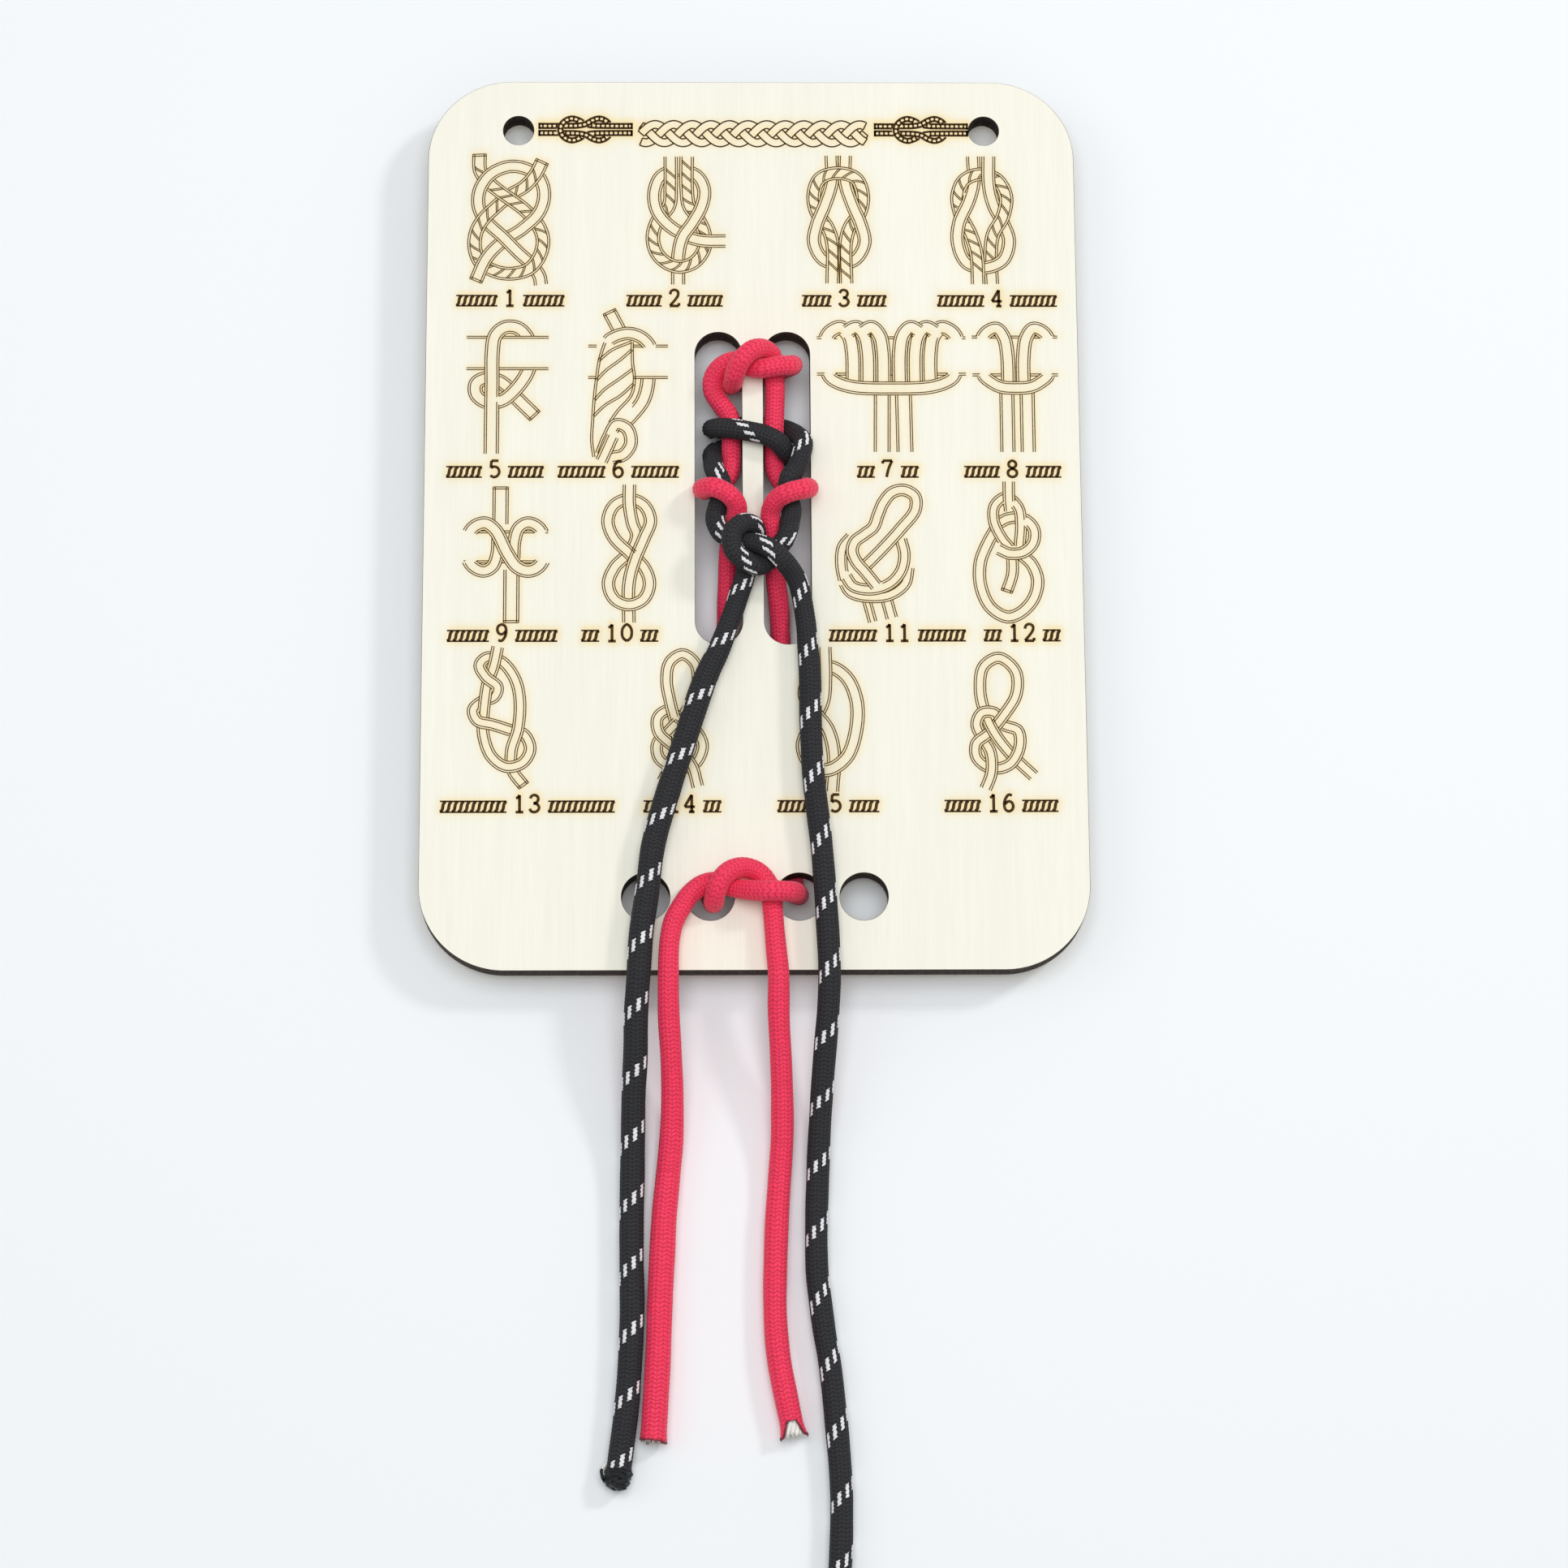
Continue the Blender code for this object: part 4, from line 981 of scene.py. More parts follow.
class Cord:
    """One cord's centre line with its frames, thickness, bead count and stretch bounds, in mm."""

    def __init__(self, route, tight_radius, tail_radii, loosened, tight_bead, tail_beads):
        self.names = list(route)
        self.line = smooth_line([point for stretch in route.values() for point in stretch])
        self.along = lengths_along(self.line)
        starts = [self.along[np.argmin(np.linalg.norm(self.line - stretch[0], axis=1))]
                  for stretch in route.values()]
        self.bounds = [0.0] + starts[1:] + [self.along[-1]]
        left = np.clip((self.bounds[1] - self.along) / SWELL_LENGTH, 0, 1)
        right = np.clip((self.along - self.bounds[-2]) / SWELL_LENGTH, 0, 1)
        waves = [part * np.sin(self.along / length + start) for part, length, start in UNEVEN_WAVES]
        radius = tight_radius + left * (tail_radii[0] - tight_radius)
        radius = (radius + right * (tail_radii[1] - tight_radius)) * (1 + sum(waves))
        from_ends = np.stack([self.along, self.along[-1] - self.along])
        loose = np.clip(2 - 2 * from_ends / LOOSE_LENGTH, 0, 1)
        loose = loose ** 2 * (3 - 2 * loose)
        self.radius = radius * (1 + loose[0] * loosened[0] + loose[1] * loosened[1])
        free = (self.along < self.bounds[1]) | (self.along > self.bounds[-2])
        self.line[free, 2] = np.maximum(self.line[free, 2], self.radius[free] + LYING_GAP)
        self.heading, self.across, self.beside = untwisted_frames(self.line)
        bead = tight_bead + left * (tail_beads[0] - tight_bead) + right * (tail_beads[1] - tight_bead)
        self.tail_beads = tail_beads
        self.beads = np.concatenate([[0], np.cumsum(np.diff(self.along) / bead[1:])])

    def at(self, values, stations):
        """What numbers or points given all along the cord are at these stations."""
        if values.ndim == 1:
            return np.interp(stations, self.along, values)
        return np.stack([np.interp(stations, self.along, part) for part in values.T], axis=1)

    def stations(self, start, end):
        """Where the rings of a stretch lie: four to a bead, and one at each end."""
        first, last = np.interp((start, end), self.along, self.beads) * STEPS_PER_BEAD
        steps = np.arange(math.ceil(first + END_STEP_CLEAR), last - END_STEP_CLEAR)
        inner = np.interp(steps / STEPS_PER_BEAD, self.beads, self.along)
        return np.concatenate([[start], inner, [end]])


red_cord = Cord(RED_ROUTE, RED_TIGHT_RADIUS, (RED_TAIL_RADIUS, RED_TAIL_RADIUS), RED_LOOSENED,
                RED_BEAD_LENGTH, (RED_BEAD_LENGTH, RED_BEAD_LENGTH))

# The black cord is the same sort of braid, a little thicker and softer. It runs up the
# board, turns in a loop, goes twice round behind the bar and crosses its loop on the way down.
BLACK_ROUTE = {
    "black_tail_left": [
        (-20.95, -149.5, 1.9), (-19.95, -141.5, 1.9), (-19.4, -134, 1.9), (-19.1, -126, 1.9),
        (-19.2, -118, 1.9), (-19.2, -111.8, 2), (-19.1, -105.5, 2.2), (-19, -99.3, 3),
        (-18.9, -93.2, 4.5), (-18.6, -87.2, 6.3), (-18.5, -81, 7.9), (-18.1, -75, 9),
        (-17.7, -68.5, 9.1), (-16.8, -62.1, 9.1), (-15.8, -54.3, 9.1), (-13.3, -45.2, 9.1),
        (-10.8, -37.3, 9.1), (-8.5, -29.9, 9), (-7.2, -26.4, 8.9), (-5.5, -22.7, 8.8),
        (-3.8, -18.2, 8.7),
    ],
    "black_knot_loop": [
        (-3, -15.9, 8.6), (-2.3, -13.6, 8.6), (-1.5, -11.3, 8.7), (-0.9, -8.8, 8.6), (0.2, -6.6, 8.6),
        (0.5, -4.3, 9.3), (-0.1, -3, 11.2), (-1.9, -3.25, 12.85), (-3.4, -5.1, 13.45),
        (-3.2, -7.6, 13.2), (-1.4, -9.1, 12.3), (0.8, -9.6, 11.2), (2.5, -8.3, 10.1), (3.9, -6.4, 10.1),
        (5.3, -4.4, 10.1), (5.8, -2, 9.3), (6.1, 0.4, 8.9),
    ],
    "black_wrap": [
        (5.56, 2.6, 9), (5.75, 5.1, 9.95), (6.9, 7.1, 9.4), (7.7, 9.4, 9.1), (8, 11.7, 8.6),
        (7.1, 13.4, 6.7), (6.5, 14.5, 4.8), (5.2, 15.6, 3.1), (3.2, 16.3, 1.8), (0.9, 16.7, 1.2),
        (-1.6, 16.7, 1.3), (-3.9, 16.4, 1.8), (-6, 15.7, 3.2), (-6.5, 14.9, 5.5), (-5.1, 14.4, 7.7),
        (-2.9, 13.9, 8.6), (-0.6, 13.4, 8.9), (1.8, 12.8, 9), (3.9, 11.8, 8.7), (5.3, 10.6, 7.3),
        (6.5, 10.4, 5.3), (6.1, 11.1, 3.1), (4.2, 11.6, 1.6), (1.9, 12.1, 1.3), (-0.5, 12.6, 1.3),
        (-3, 12.8, 1.5), (-5.2, 12.4, 2.4), (-6.4, 11.1, 4.1), (-6.4, 9.4, 5.9), (-6.2, 7.5, 7.6),
        (-5.4, 5.7, 8.65),
    ],
    "black_knot_cross": [
        (-4.98, 4.4, 8.67), (-4.8, 3, 8.47), (-5.6, 0.9, 8.6), (-6, -1.5, 9), (-5.1, -3.6, 9.3),
        (-3.1, -4.9, 9.7), (-1.5, -5.9, 11.2), (0.7, -6.4, 12.4), (2.7, -7.5, 13.2), (4.5, -9, 12.4),
        (5.9, -10.2, 10.6), (7, -11.9, 9.5), (7.6, -14.2, 9),
    ],
    "black_tail_right": [
        (8, -16.6, 8.8), (8.3, -19, 8.9), (8.5, -22.1, 8.95), (8.8, -26.6, 9), (8.9, -36, 9),
        (9.3, -44, 9), (10.4, -54.3, 9), (11.1, -64.7, 9), (11.5, -74.9, 8.9), (11.3, -80, 8),
        (10.9, -85, 6.7), (10.4, -91, 5), (9.8, -100.6, 2.7), (9.6, -105.6, 2.1), (9.4, -110.6, 1.9),
        (9.3, -115.7, 1.8), (9.4, -120.7, 1.8), (9.8, -124.5, 1.8), (10.4, -129.4, 1.8),
        (11.2, -134.4, 1.8), (12.2, -144.3, 1.8), (12.8, -153, 1.8), (12.8, -159, 1.8),
        (12.5, -165.5, 1.8), (11.8, -172, 1.8), (10.7, -180, 1.8), (9.4, -190, 1.8), (8.6, -200, 1.8),
        (8.5, -207, 1.8),
    ],
}
BLACK_TIGHT_RADIUS = 1.62
BLACK_TAIL_RADII = (1.93, 1.80)
BLACK_LOOSENED = (0.0, 0.0)
BLACK_TIGHT_BEAD = 0.5855
BLACK_TAIL_BEADS = (0.629, 0.639)

black_cord = Cord(BLACK_ROUTE, BLACK_TIGHT_RADIUS, BLACK_TAIL_RADII, BLACK_LOOSENED,
                  BLACK_TIGHT_BEAD, BLACK_TAIL_BEADS)

# The red cord's sheath is braided from bright red polyester yarns in a tight herringbone. It is
# dented where strands press on each other, and lies flat where it carries the board.
# The gaps between its yarns are painted darker, as painted shade.
COLUMNS = 16
SIDES = 64
BEAD_SLOPE = 0.6
BRAID_RELIEF = 0.10
PRESSED_WITHIN = 3.6
DEEPEST_PRESS = 0.8
PRESS_SHARE = 0.5
OWN_STRAND_CLEAR = 5.0
NEIGHBOUR_STEP = 3
TABLE_GAP = 0.02
UNEVEN_PER_METRE = 650.0
FLUFF_PER_METRE = 900.0
FLUFF_SHARE = 0.35
YARN_GAP_START = 0.26
COLUMN_GAP_START = 0.34
COLUMN_GAP_SHARE = 0.7
# How far the gaps between the yarns are painted toward the darker gap colour: painted shade.
GAP_SHADE_STRENGTH = 0.85
FIBRES_PER_YARN = 5
FIBRE_HEIGHT = 0.12
SINGED_SHADE = 0.12
TRACER_START = 1.4
TRACER_YARNS = 2.5
TRACER_DASH = (1.75, 1.7)
TRACER_EDGE = 0.36
side_columns = np.arange(SIDES + 1) * COLUMNS / SIDES
side_turns = side_columns[:-1] * 2 * math.pi / COLUMNS


def braid_relief(column, bead):
    """How high the braid's yarns stand, from 0 to 1. Yarns run one way in even columns and the
    other way in odd ones, each bead crossing its column aslant, which makes the herringbone."""
    way = np.where(np.floor(column) % 2 == 0, 1, -1)
    aslant = bead - way * (np.floor(column) + 0.5 + BEAD_SLOPE * (column % 1 - 0.5))
    over_column = np.sin(math.pi * (column % 1))
    over_yarn = np.sin(math.pi * (aslant % 1))
    return np.sqrt(np.clip(over_column, 0, 1)) * (0.25 + 0.75 * np.clip(over_yarn, 0, 1) ** 0.7)


def spokes(turn, across, beside):
    """The directions out from a cord's middle at these turns round it."""
    return np.cos(turn)[..., None] * across + np.sin(turn)[..., None] * beside


def tube_faces(rows, sides):
    """The faces between the rings of a tube, row by row."""
    at = np.arange((rows - 1) * sides).reshape(-1, sides)
    beside = np.roll(at, -1, axis=1)
    return np.stack([at, beside, beside + sides, at + sides], axis=2).reshape(-1, 4).tolist()


def map_braid(mesh, beads):
    """Gives each corner of a sheath's faces its column round the braid and its bead along it."""
    around = np.stack([side_columns[:-1], side_columns[1:], side_columns[1:], side_columns[:-1]], axis=1)
    beside = np.roll(beads, -1, axis=1)
    ahead = np.stack([beads[:-1], beside[:-1], beside[1:], beads[1:]], axis=2)
    corners = np.zeros((len(mesh.loops), 2))
    corners[:ahead.size, 0] = np.broadcast_to(around, ahead.shape).ravel()
    corners[:ahead.size, 1] = ahead.ravel()
    mesh.uv_layers.new(name="braid").data.foreach_set("uv", corners.ravel())


def pressed(rings, centres, others):
    """The rings, pushed in halfway where another strand presses on them."""
    for i, centre in enumerate(centres):
        near = others[np.abs(others[:, :3] - centre).max(axis=1) < PRESSED_WITHIN]
        if not len(near):
            continue
        away = rings[i][:, None] - near[None, :, :3]
        depth = (near[:, 3] - np.linalg.norm(away, axis=2)).max(axis=1)
        inward = centre - rings[i]
        inward /= np.linalg.norm(inward, axis=1, keepdims=True)
        rings[i] += inward * np.clip(depth, 0, DEEPEST_PRESS)[:, None] * PRESS_SHARE
    return rings


def strands_beside(cord, start, end, other_cord):
    """Centre points and radii of all strands that a stretch may touch: the other cord's, and its
    own further along."""
    own_far = (cord.along < start - OWN_STRAND_CLEAR) | (cord.along > end + OWN_STRAND_CLEAR)
    own = np.column_stack([cord.line, cord.radius])[own_far]
    other = np.column_stack([other_cord.line, other_cord.radius])
    return np.concatenate([own, other])[::NEIGHBOUR_STEP]


def sheath(name, cord, start, end, material, others):
    """One stretch of a cord's braided sheath."""
    stations = cord.stations(start, end)
    beads = np.broadcast_to(cord.at(cord.beads, stations)[:, None], (len(stations), SIDES))
    height = (braid_relief(side_columns[:-1], beads) - 1) * BRAID_RELIEF
    reach = cord.at(cord.radius, stations)[:, None] + height
    centres = cord.at(cord.line, stations)
    across, beside = (cord.at(way, stations)[:, None] for way in (cord.across, cord.beside))
    rings = centres[:, None] + reach[..., None] * spokes(side_turns, across, beside)
    rings = pressed(rings, centres, others)
    rings[:, :, 2] = np.maximum(rings[:, :, 2], TABLE_GAP)
    piece = new_piece(name, rings.reshape(-1, 3), tube_faces(len(stations), SIDES), [material])
    piece.data.shade_smooth()
    map_braid(piece.data, beads)
    return piece


def sheathed_cord(cord, other_cord, material):
    """All stretches of one cord, each standing for the node of its name."""
    pieces = {}
    for name, start, end in zip(cord.names, cord.bounds, cord.bounds[1:]):
        others = strands_beside(cord, start, end, other_cord)
        piece = sheath(name + "_sheath", cord, start, end, material, others)
        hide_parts(name)
        pieces[name] = piece
    return pieces


def mottle(tree, scale, detail, distortion=0.0):
    """Noise of even size, with this many lumps to a metre."""
    noise = {"Vector": added(tree, "ShaderNodeTexCoord").outputs["Object"],
             "Scale": scale, "Detail": detail, "Distortion": distortion}
    return added(tree, "ShaderNodeTexNoise", noise).outputs["Fac"]


def braid_material(name, colour, gap_shade_colour, roughness, shine, sheen, tracer=None):
    """Braided yarn: each bead's crown has the yarn's colour, and the gaps are painted darker as shade."""
    finish, tree, shader = new_finish(name, roughness, shine)
    shader.inputs["Sheen Weight"].default_value = sheen
    shader.inputs["Sheen Roughness"].default_value = 0.5

    def worked(operation, *values):
        return added(tree, "ShaderNodeMath", dict(enumerate(values)), operation=operation).outputs[0]

    def from_middle(value):
        return worked("ABSOLUTE", worked("SUBTRACT", worked("FRACT", value), 0.5))

    def edge(value, start):
        span = {"Value": value, "From Min": start, "From Max": 0.5}
        return added(tree, "ShaderNodeMapRange", span, interpolation_type="SMOOTHSTEP").outputs["Result"]

    braid_map = added(tree, "ShaderNodeUVMap", uv_map="braid").outputs["UV"]
    counts = added(tree, "ShaderNodeSeparateXYZ", {0: braid_map}).outputs
    column = counts["X"]
    bead = worked("ADD", counts["Y"], worked("SUBTRACT", mottle(tree, UNEVEN_PER_METRE, 1.0), 0.5))
    odd = worked("FLOORED_MODULO", worked("FLOOR", column), 2.0)
    way = worked("SUBTRACT", 1.0, worked("MULTIPLY", odd, 2.0))
    in_column = worked("MULTIPLY", worked("SUBTRACT", worked("FRACT", column), 0.5), BEAD_SLOPE)
    passed = worked("ADD", worked("ADD", worked("FLOOR", column), 0.5), in_column)
    aslant = worked("SUBTRACT", bead, worked("MULTIPLY", passed, way))
    across_yarn, across_column = from_middle(aslant), from_middle(column)
    column_gap = worked("MULTIPLY", edge(across_column, COLUMN_GAP_START), COLUMN_GAP_SHARE)
    gap = worked("MAXIMUM", edge(across_yarn, YARN_GAP_START), column_gap)
    # Painted shade: the gaps between yarns and between columns are mixed toward the darker gap colour.
    shade = mixed(tree, worked("MULTIPLY", gap, GAP_SHADE_STRENGTH), colour, gap_shade_colour)
    if tracer:
        yarn = worked("FLOOR", worked("ADD", aslant, TRACER_START))
        yarn = worked("FLOORED_MODULO", yarn, float(COLUMNS))
        white = worked("MULTIPLY", worked("LESS_THAN", yarn, TRACER_YARNS), worked("SUBTRACT", 1.0, odd))
        long_way = worked("POWER", worked("MULTIPLY", across_column, TRACER_DASH[0]), 2.0)
        short_way = worked("POWER", worked("MULTIPLY", across_yarn, TRACER_DASH[1]), 2.0)
        off_crown = edge(worked("MULTIPLY", worked("ADD", long_way, short_way), 0.5), TRACER_EDGE)
        crown = worked("SUBTRACT", 1.0, off_crown)
        shade = mixed(tree, worked("MULTIPLY", white, crown), shade, tracer)
    singed = added(tree, "ShaderNodeAttribute", attribute_name="singed").outputs["Fac"]
    shade = mixed(tree, singed, shade, [value * SINGED_SHADE for value in colour[:3]] + [1])
    fluff = ranged(tree, mottle(tree, FLUFF_PER_METRE, 4.0), *NOISE_RANGE, 0.7, 1.0)
    feed(tree, shader.inputs["Base Color"], mixed(tree, FLUFF_SHARE, shade, fluff, "MULTIPLY"))
    fibres = worked("SINE", worked("MULTIPLY", aslant, 2 * math.pi * FIBRES_PER_YARN))
    height = worked("ADD", worked("MULTIPLY", fibres, FIBRE_HEIGHT), worked("SUBTRACT", 1.0, gap))
    bumpy(tree, shader, height, 0.6, 0.06)
    return finish


# The second colour is painted shade for the gaps between the yarns.
red_braid = braid_material(
    "red_braided_yarn", (1.0, 0.037, 0.128, 1), (0.57, 0.001, 0.014, 1), 0.62, 0.4, 0.15)
red_pieces = sheathed_cord(red_cord, black_cord, red_braid)

# The red cord was cut with a knife: its sheath is frayed and dark at both rims, and split
# open at the right one, and the loose white strands of the core show inside.
SHEATH_THICKNESS = 0.42
RIM_ROWS = 29
LINING_ROWS = 6
RAGGED = 0.07
SINGED_LENGTH = 0.45
YARN_STEPS = 7
YARN_TAPER = (0.15, 0.05)
CORE_STRANDS = 13
MIDDLE_STRANDS = 4
CORE_STRAND_RADIUS = 0.33
STRAND_SIDES = 14
STRAND_STEPS = 30
FILAMENTS = 22
FILAMENT_STEPS = 6
FILAMENT_TAPER = (0.035, 0.012)
FILAMENT_SIDES = 4


def cord_end(cord, at_start):
    """A cord's last point, the way out of it, two directions across, its radius and bead count."""
    i = 0 if at_start else -1
    out = cord.heading[i] * (-1 if at_start else 1)
    return cord.line[i], out, cord.across[i], cord.beside[i], cord.radius[i], cord.beads[i]


def closed_tube(rings):
    """The points and faces of a tube of rings that is closed at both ends."""
    rows, sides = rings.shape[:2]
    at = np.arange(sides)
    ends = [at[::-1].tolist(), (at + (rows - 1) * sides).tolist()]
    return rings.reshape(-1, 3), tube_faces(rows, sides) + ends


def yarn_end(path, radii, sides=6):
    """A short yarn along a path, as thick as its radii say."""
    _, across, beside = untwisted_frames(path)
    away = spokes(np.arange(sides) * 2 * math.pi / sides, across[:, None], beside[:, None])
    return closed_tube(path[:, None] + radii[:, None, None] * away)


def gathered(name, parts, materials, which=None):
    """One piece from several lots of points and faces, lying on the table where they are low."""
    points, faces, indices, count = [], [], [], 0
    for lot, (lot_points, lot_faces) in enumerate(parts):
        points.append(lot_points)
        faces += [[corner + count for corner in face] for face in lot_faces]
        indices += [which[lot] if which else 0] * len(lot_faces)
        count += len(lot_points)
    points = np.concatenate(points)
    points[:, 2] = np.maximum(points[:, 2], TABLE_GAP)
    piece = new_piece(name, points, faces, materials, indices)
    piece.data.shade_smooth()
    return piece


def sheath_end(name, cord, at_start, reach, flare, loose, singe, material):
    """The sheath's last few beads, as far out on each side as reach says, with loose yarns."""
    centre, out, across, beside, radius, first_bead = cord_end(cord, at_start)
    away = spokes(side_turns, across, beside)
    chance = np.random.default_rng(11 if at_start else 12)
    rim = reach(away[:, 0], away[:, 2]) + chance.uniform(-RAGGED, RAGGED, SIDES)
    lining = rim - np.linspace(0.08, 0.9, LINING_ROWS)[:, None]
    far = np.concatenate([np.linspace(0, 1, RIM_ROWS)[:, None] * rim, lining])
    beads = first_bead + far / (-cord.tail_beads[0] if at_start else cord.tail_beads[1])
    height = (braid_relief(side_columns[:-1], beads) - 1) * BRAID_RELIEF
    height[RIM_ROWS:] = -SHEATH_THICKNESS
    spread = 1 + flare * np.abs(away[:, 0]) * (np.clip(far, 0, None) / rim.max()) ** 2
    rings = centre + out * far[..., None] + away * ((radius + height) * spread)[..., None]
    singed = np.clip(1.15 - (rim - far) / SINGED_LENGTH, 0, 1) * singe
    singed[RIM_ROWS:] = 0.8 * singe
    yarns = []
    for side in chance.choice(SIDES, loose, replace=False):
        length = chance.uniform(0.3, 0.7)
        bend = chance.uniform(-0.1, 0.8)
        sideways = chance.uniform(-0.7, 0.7)
        step = np.linspace(0, length, YARN_STEPS)[:, None]
        start = rings[RIM_ROWS - 1, side] - away[side] * 0.12 - out * 0.25
        path = start + out * step + away[side] * bend * step ** 2
        path += np.cross(out, away[side]) * sideways * step
        yarns.append(yarn_end(path, np.linspace(*YARN_TAPER, YARN_STEPS)))
    tube = rings.reshape(-1, 3), tube_faces(len(far), SIDES)
    piece = gathered(name, [tube] + yarns, [material])
    marks = np.concatenate([singed.ravel()] + [np.ones(len(points)) for points, _ in yarns])
    singed_marks = piece.data.attributes.new("singed", "FLOAT", "POINT")
    singed_marks.data.foreach_set("value", marks.astype(np.float32))
    map_braid(piece.data, beads)
    return piece


def core_strands(name, node, cord, at_start, reach, material):
    """The core's loosely twisted strands, each ending in a tuft of fine filaments."""
    centre, out, across, beside, _, _ = cord_end(cord, at_start)
    chance = np.random.default_rng(21 if at_start else 22)
    parts = []
    for strand in range(CORE_STRANDS):
        length = reach + chance.uniform(-0.4, 0.1)
        step = np.linspace(-1.2, length, STRAND_STEPS)
        turn = strand * 2 * math.pi / (CORE_STRANDS - MIDDLE_STRANDS) + 0.45 * step
        off = 0.38 if strand < MIDDLE_STRANDS else 0.92
        lean = spokes(turn, across, beside) * off * (1 + 0.12 * np.clip(step, 0, None)[:, None])
        path = centre + out * step[:, None] + lean
        radii = CORE_STRAND_RADIUS * np.sqrt(np.clip((length - step) / 0.5, 0.03, 1))
        radii *= 1 + 0.05 * np.sin(5 * step + strand)
        parts.append(yarn_end(path, radii, STRAND_SIDES))
        for _ in range(FILAMENTS):
            start = path[chance.integers(17, 29)] + chance.uniform(-0.24, 0.24, 3)
            grow = np.linspace(0, chance.uniform(0.25, 0.75), FILAMENT_STEPS)[:, None]
            wander = out + chance.uniform(-0.45, 0.45, 3)
            curl = chance.uniform(-0.5, 0.5, 3)
            filament = start + wander * grow + curl * grow ** 2
            taper = np.linspace(*FILAMENT_TAPER, FILAMENT_STEPS)
            parts.append(yarn_end(filament, taper, FILAMENT_SIDES))
    piece = gathered(name, parts, [material])
    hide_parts(node)
    return piece


def filament_white(name, colour):
    """White polyester filament, a little uneven in tone."""
    finish, tree, shader = new_finish(name, 0.7)
    shader.inputs["Sheen Weight"].default_value = 0.1
    tone = streaks(tree, (0.12, 1.4, 0.12), 3.0, 5.0)
    feed(tree, shader.inputs["Base Color"], shaded(tree, colour[:3], tone, 0.86, 1.03))
    bumpy(tree, shader, tone, 0.5, 0.03)
    return finish


def wavy_rim(x, z):
    """How far out the left rim stands, on a side that looks this way across the cord."""
    return 2.55 + 0.16 * x + 0.08 * np.sin(9 * x)


def split_rim(x, z):
    """How far out the right rim stands: it is split open in the middle of its upper side."""
    upper = 0.1 + 2.4 * np.clip((np.abs(x) - 0.42) / 0.45, 0, 1) ** 1.1
    return np.where(z > -0.2, upper, 0.8 + 1.6 * x ** 2)


core_white = filament_white("core_white", (0.93, 0.92, 0.87, 1))
red_rim_left = sheath_end(
    "red_frayed_rim_left", red_cord, True, wavy_rim, 0.10, 9, 1, red_braid)
red_rim_right = sheath_end(
    "red_frayed_rim_right", red_cord, False, split_rim, 0.26, 16, 1, red_braid)
red_core_left = core_strands("red_core_strands_left", "red_core_left", red_cord, True, 2.6, core_white)
red_core_right = core_strands("red_core_strands_right", "red_core_right", red_cord, False, 2.45, core_white)

# The black cord's sheath is the same braid of black yarns, with three white ones beside each
# other that show as slanting groups of dashes.
# The second colour is painted shade for the gaps between the yarns.
black_braid = braid_material(
    "black_braided_yarn", (0.033, 0.0335, 0.037, 1), (0.008, 0.008, 0.010, 1), 0.6, 0.12, 0.02,
    tracer=(0.86, 0.86, 0.90, 1))
black_pieces = sheathed_cord(black_cord, red_cord, black_braid)

# The black cord's ends were melted: each is a hard, creased black lump as wide as the cord. A
# white and a black yarn stick out beside the left one.
FOLD_PITCH = 0.8
FOLD_DEPTH = 0.23
TIP_RINGS = 64
TIP_SIDES = 90
# How wide the lump is beside the cord, at these shares of its length.
TIP_PROFILE = ((-0.14, 0.84), (-0.04, 0.95), (0.06, 1.04), (0.2, 1.06), (0.5, 1.02), (0.8, 0.92),
               (0.93, 0.74), (1, 0.38))
# The two yarns: finish, side, way out of the cord, off it and up, all in mm, and thickness.
LEFT_YARNS = (
    (1, -1, [(-1.1, -0.1, -0.2), (-0.7, 0.2, 0), (-0.2, 0.5, 0.1), (0.3, 0.55, 0)], 0.2),
    (0, -1, [(-0.2, 0.3, -0.2), (0.2, 0.7, 0.1), (1.0, 0.5, 0.3), (2.1, 0.1, 0.2)], 0.24),
)


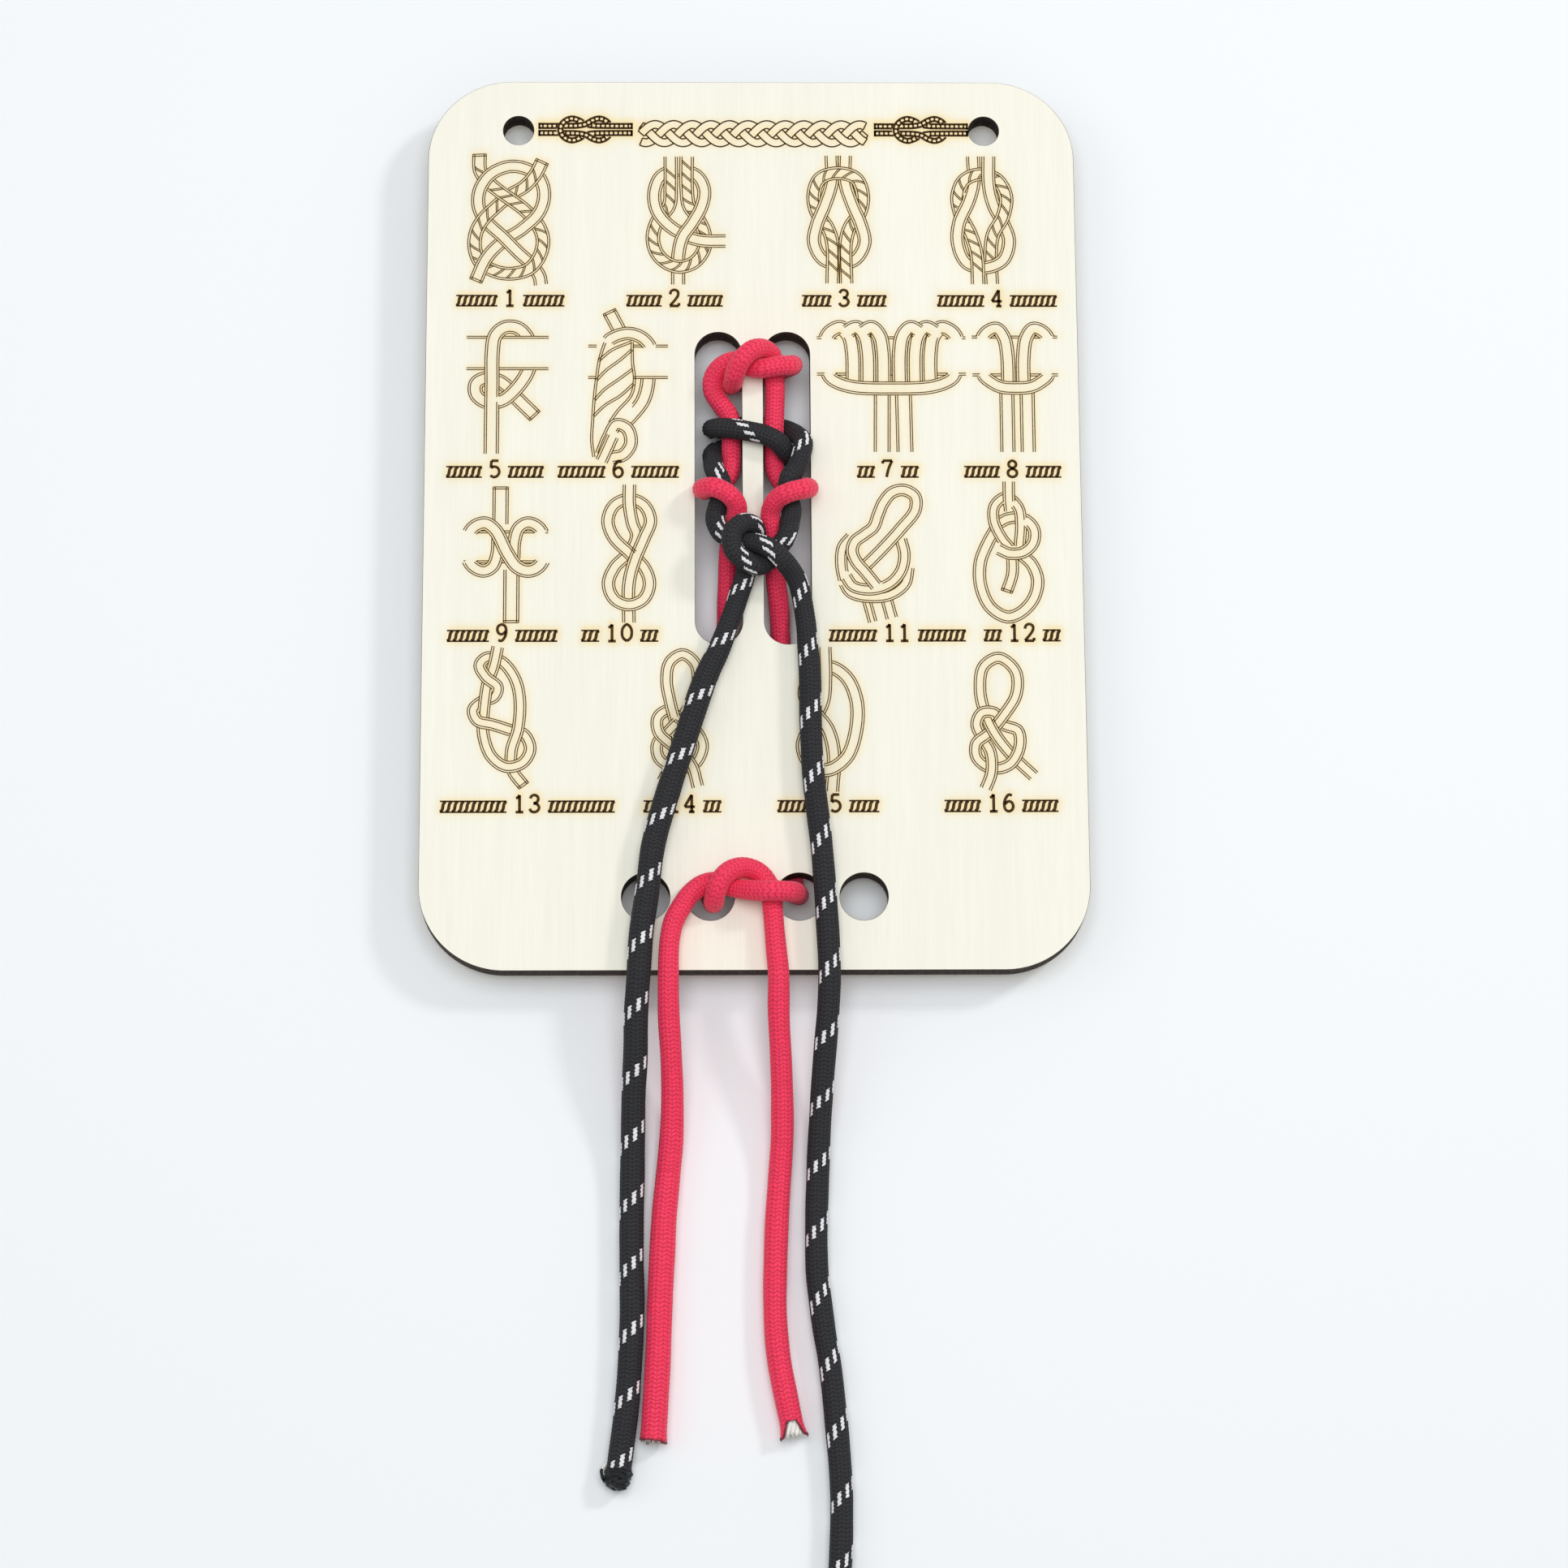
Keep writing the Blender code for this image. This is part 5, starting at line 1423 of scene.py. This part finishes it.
def melted_tip(name, node, cord, at_start, start, length, yarns, materials):
    """A lump that grips the sheath's end, with creases across it and a blunt nose."""
    centre, out, across, beside, radius, _ = cord_end(cord, at_start)
    centre = centre + out * start
    step = np.linspace(-0.6, length, TIP_RINGS)[:, None]
    turn = (np.arange(TIP_SIDES) * 2 * math.pi / TIP_SIDES)[None]
    width = np.interp(step / length, *zip(*TIP_PROFILE)) * radius
    swirl = step / FOLD_PITCH + 0.28 * np.sin(2 * turn + 1.1) + 0.15 * np.sin(5 * turn + step * 1.7)
    finer = 2.3 * swirl + 0.9 * np.sin(3 * turn)
    fold = np.abs(np.sin(math.pi * swirl)) ** 0.7 + 0.5 * np.abs(np.sin(math.pi * finer))
    lump = 0.16 * np.sin(3 * turn + 1.9 * step) * np.sin(2.1 * step + 0.6)
    lump = lump + 0.10 * np.sin(5 * turn - 1.3 * step)
    free = np.clip((step + 0.3) / 0.5, 0, 1)
    reach = width + free * (FOLD_DEPTH * (fold - 0.9) + lump)
    ahead = step + 0.22 * free * np.sin(2 * turn + 0.5)
    rings = centre + out * ahead[..., None] + spokes(turn, across, beside) * reach[..., None]
    parts, which = [closed_tube(rings)], [0]
    for kind, side, points, thickness in yarns:
        ahead, off, up = np.array(points, float).T[..., None]
        path = centre + out * ahead + np.array([side, 0, 0]) * (radius + off) + np.array([0, 0, 1]) * up
        path = smooth_line(path, 0.08)
        taper = np.minimum(np.linspace(0, 1, len(path)) * 6, np.linspace(1, 0, len(path)) * 4)
        parts.append(yarn_end(path, thickness * np.clip(taper, 0.25, 1), 10))
        which.append(kind)
    piece = gathered(name, parts, materials, which)
    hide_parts(node)
    return piece


def hard_melt(name, colour):
    """Melted polyester: nearly black, glossy in patches, with fine creases."""
    finish, tree, shader = new_finish(name, 0.5, 0.16)
    crease = mottle(tree, 1400.0, 5.0, 1.2)
    feed(tree, shader.inputs["Base Color"], shaded(tree, colour[:3], crease, 0.4, 1.7))
    feed(tree, shader.inputs["Roughness"], ranged(tree, crease, 0.35, 0.65, 0.22, 0.55))
    bumpy(tree, shader, crease, 0.6, 0.08)
    return finish


def straight_rim(x, z):
    """The same way out on every side, under the melt."""
    return 0.95 + 0 * x


black_rim_left = sheath_end(
    "black_sheath_end_left", black_cord, True, straight_rim, 0.03, 4, 0, black_braid)
tip_finishes = [hard_melt("melted_black", (0.010, 0.011, 0.012, 1)), core_white]
black_melt_left = melted_tip(
    "black_melt_left", "black_tip_left", black_cord, True, 0.85, 3.1, LEFT_YARNS, tip_finishes)
black_melt_right = melted_tip(
    "black_melt_right", "black_tip_right", black_cord, False, 0.0, 3.3, (), tip_finishes)

# The four free ends of the cords leave the knots and lie loosely on the board and the table.
# They were cut or melted off, and no fitting holds them.
PATH_STEP = 10


def free_end(cord, at_start):
    """Works out the path of a cord's free end, from the knot out to its tip, and does not use it."""
    reach = cord.along <= cord.bounds[1] if at_start else cord.along >= cord.bounds[-2]
    path = np.concatenate([cord.line[reach][::PATH_STEP], cord.line[reach][-1:]]) * MM
    if at_start:
        path = path[::-1]


free_end(red_cord, True)
free_end(red_cord, False)
free_end(black_cord, True)
free_end(black_cord, False)
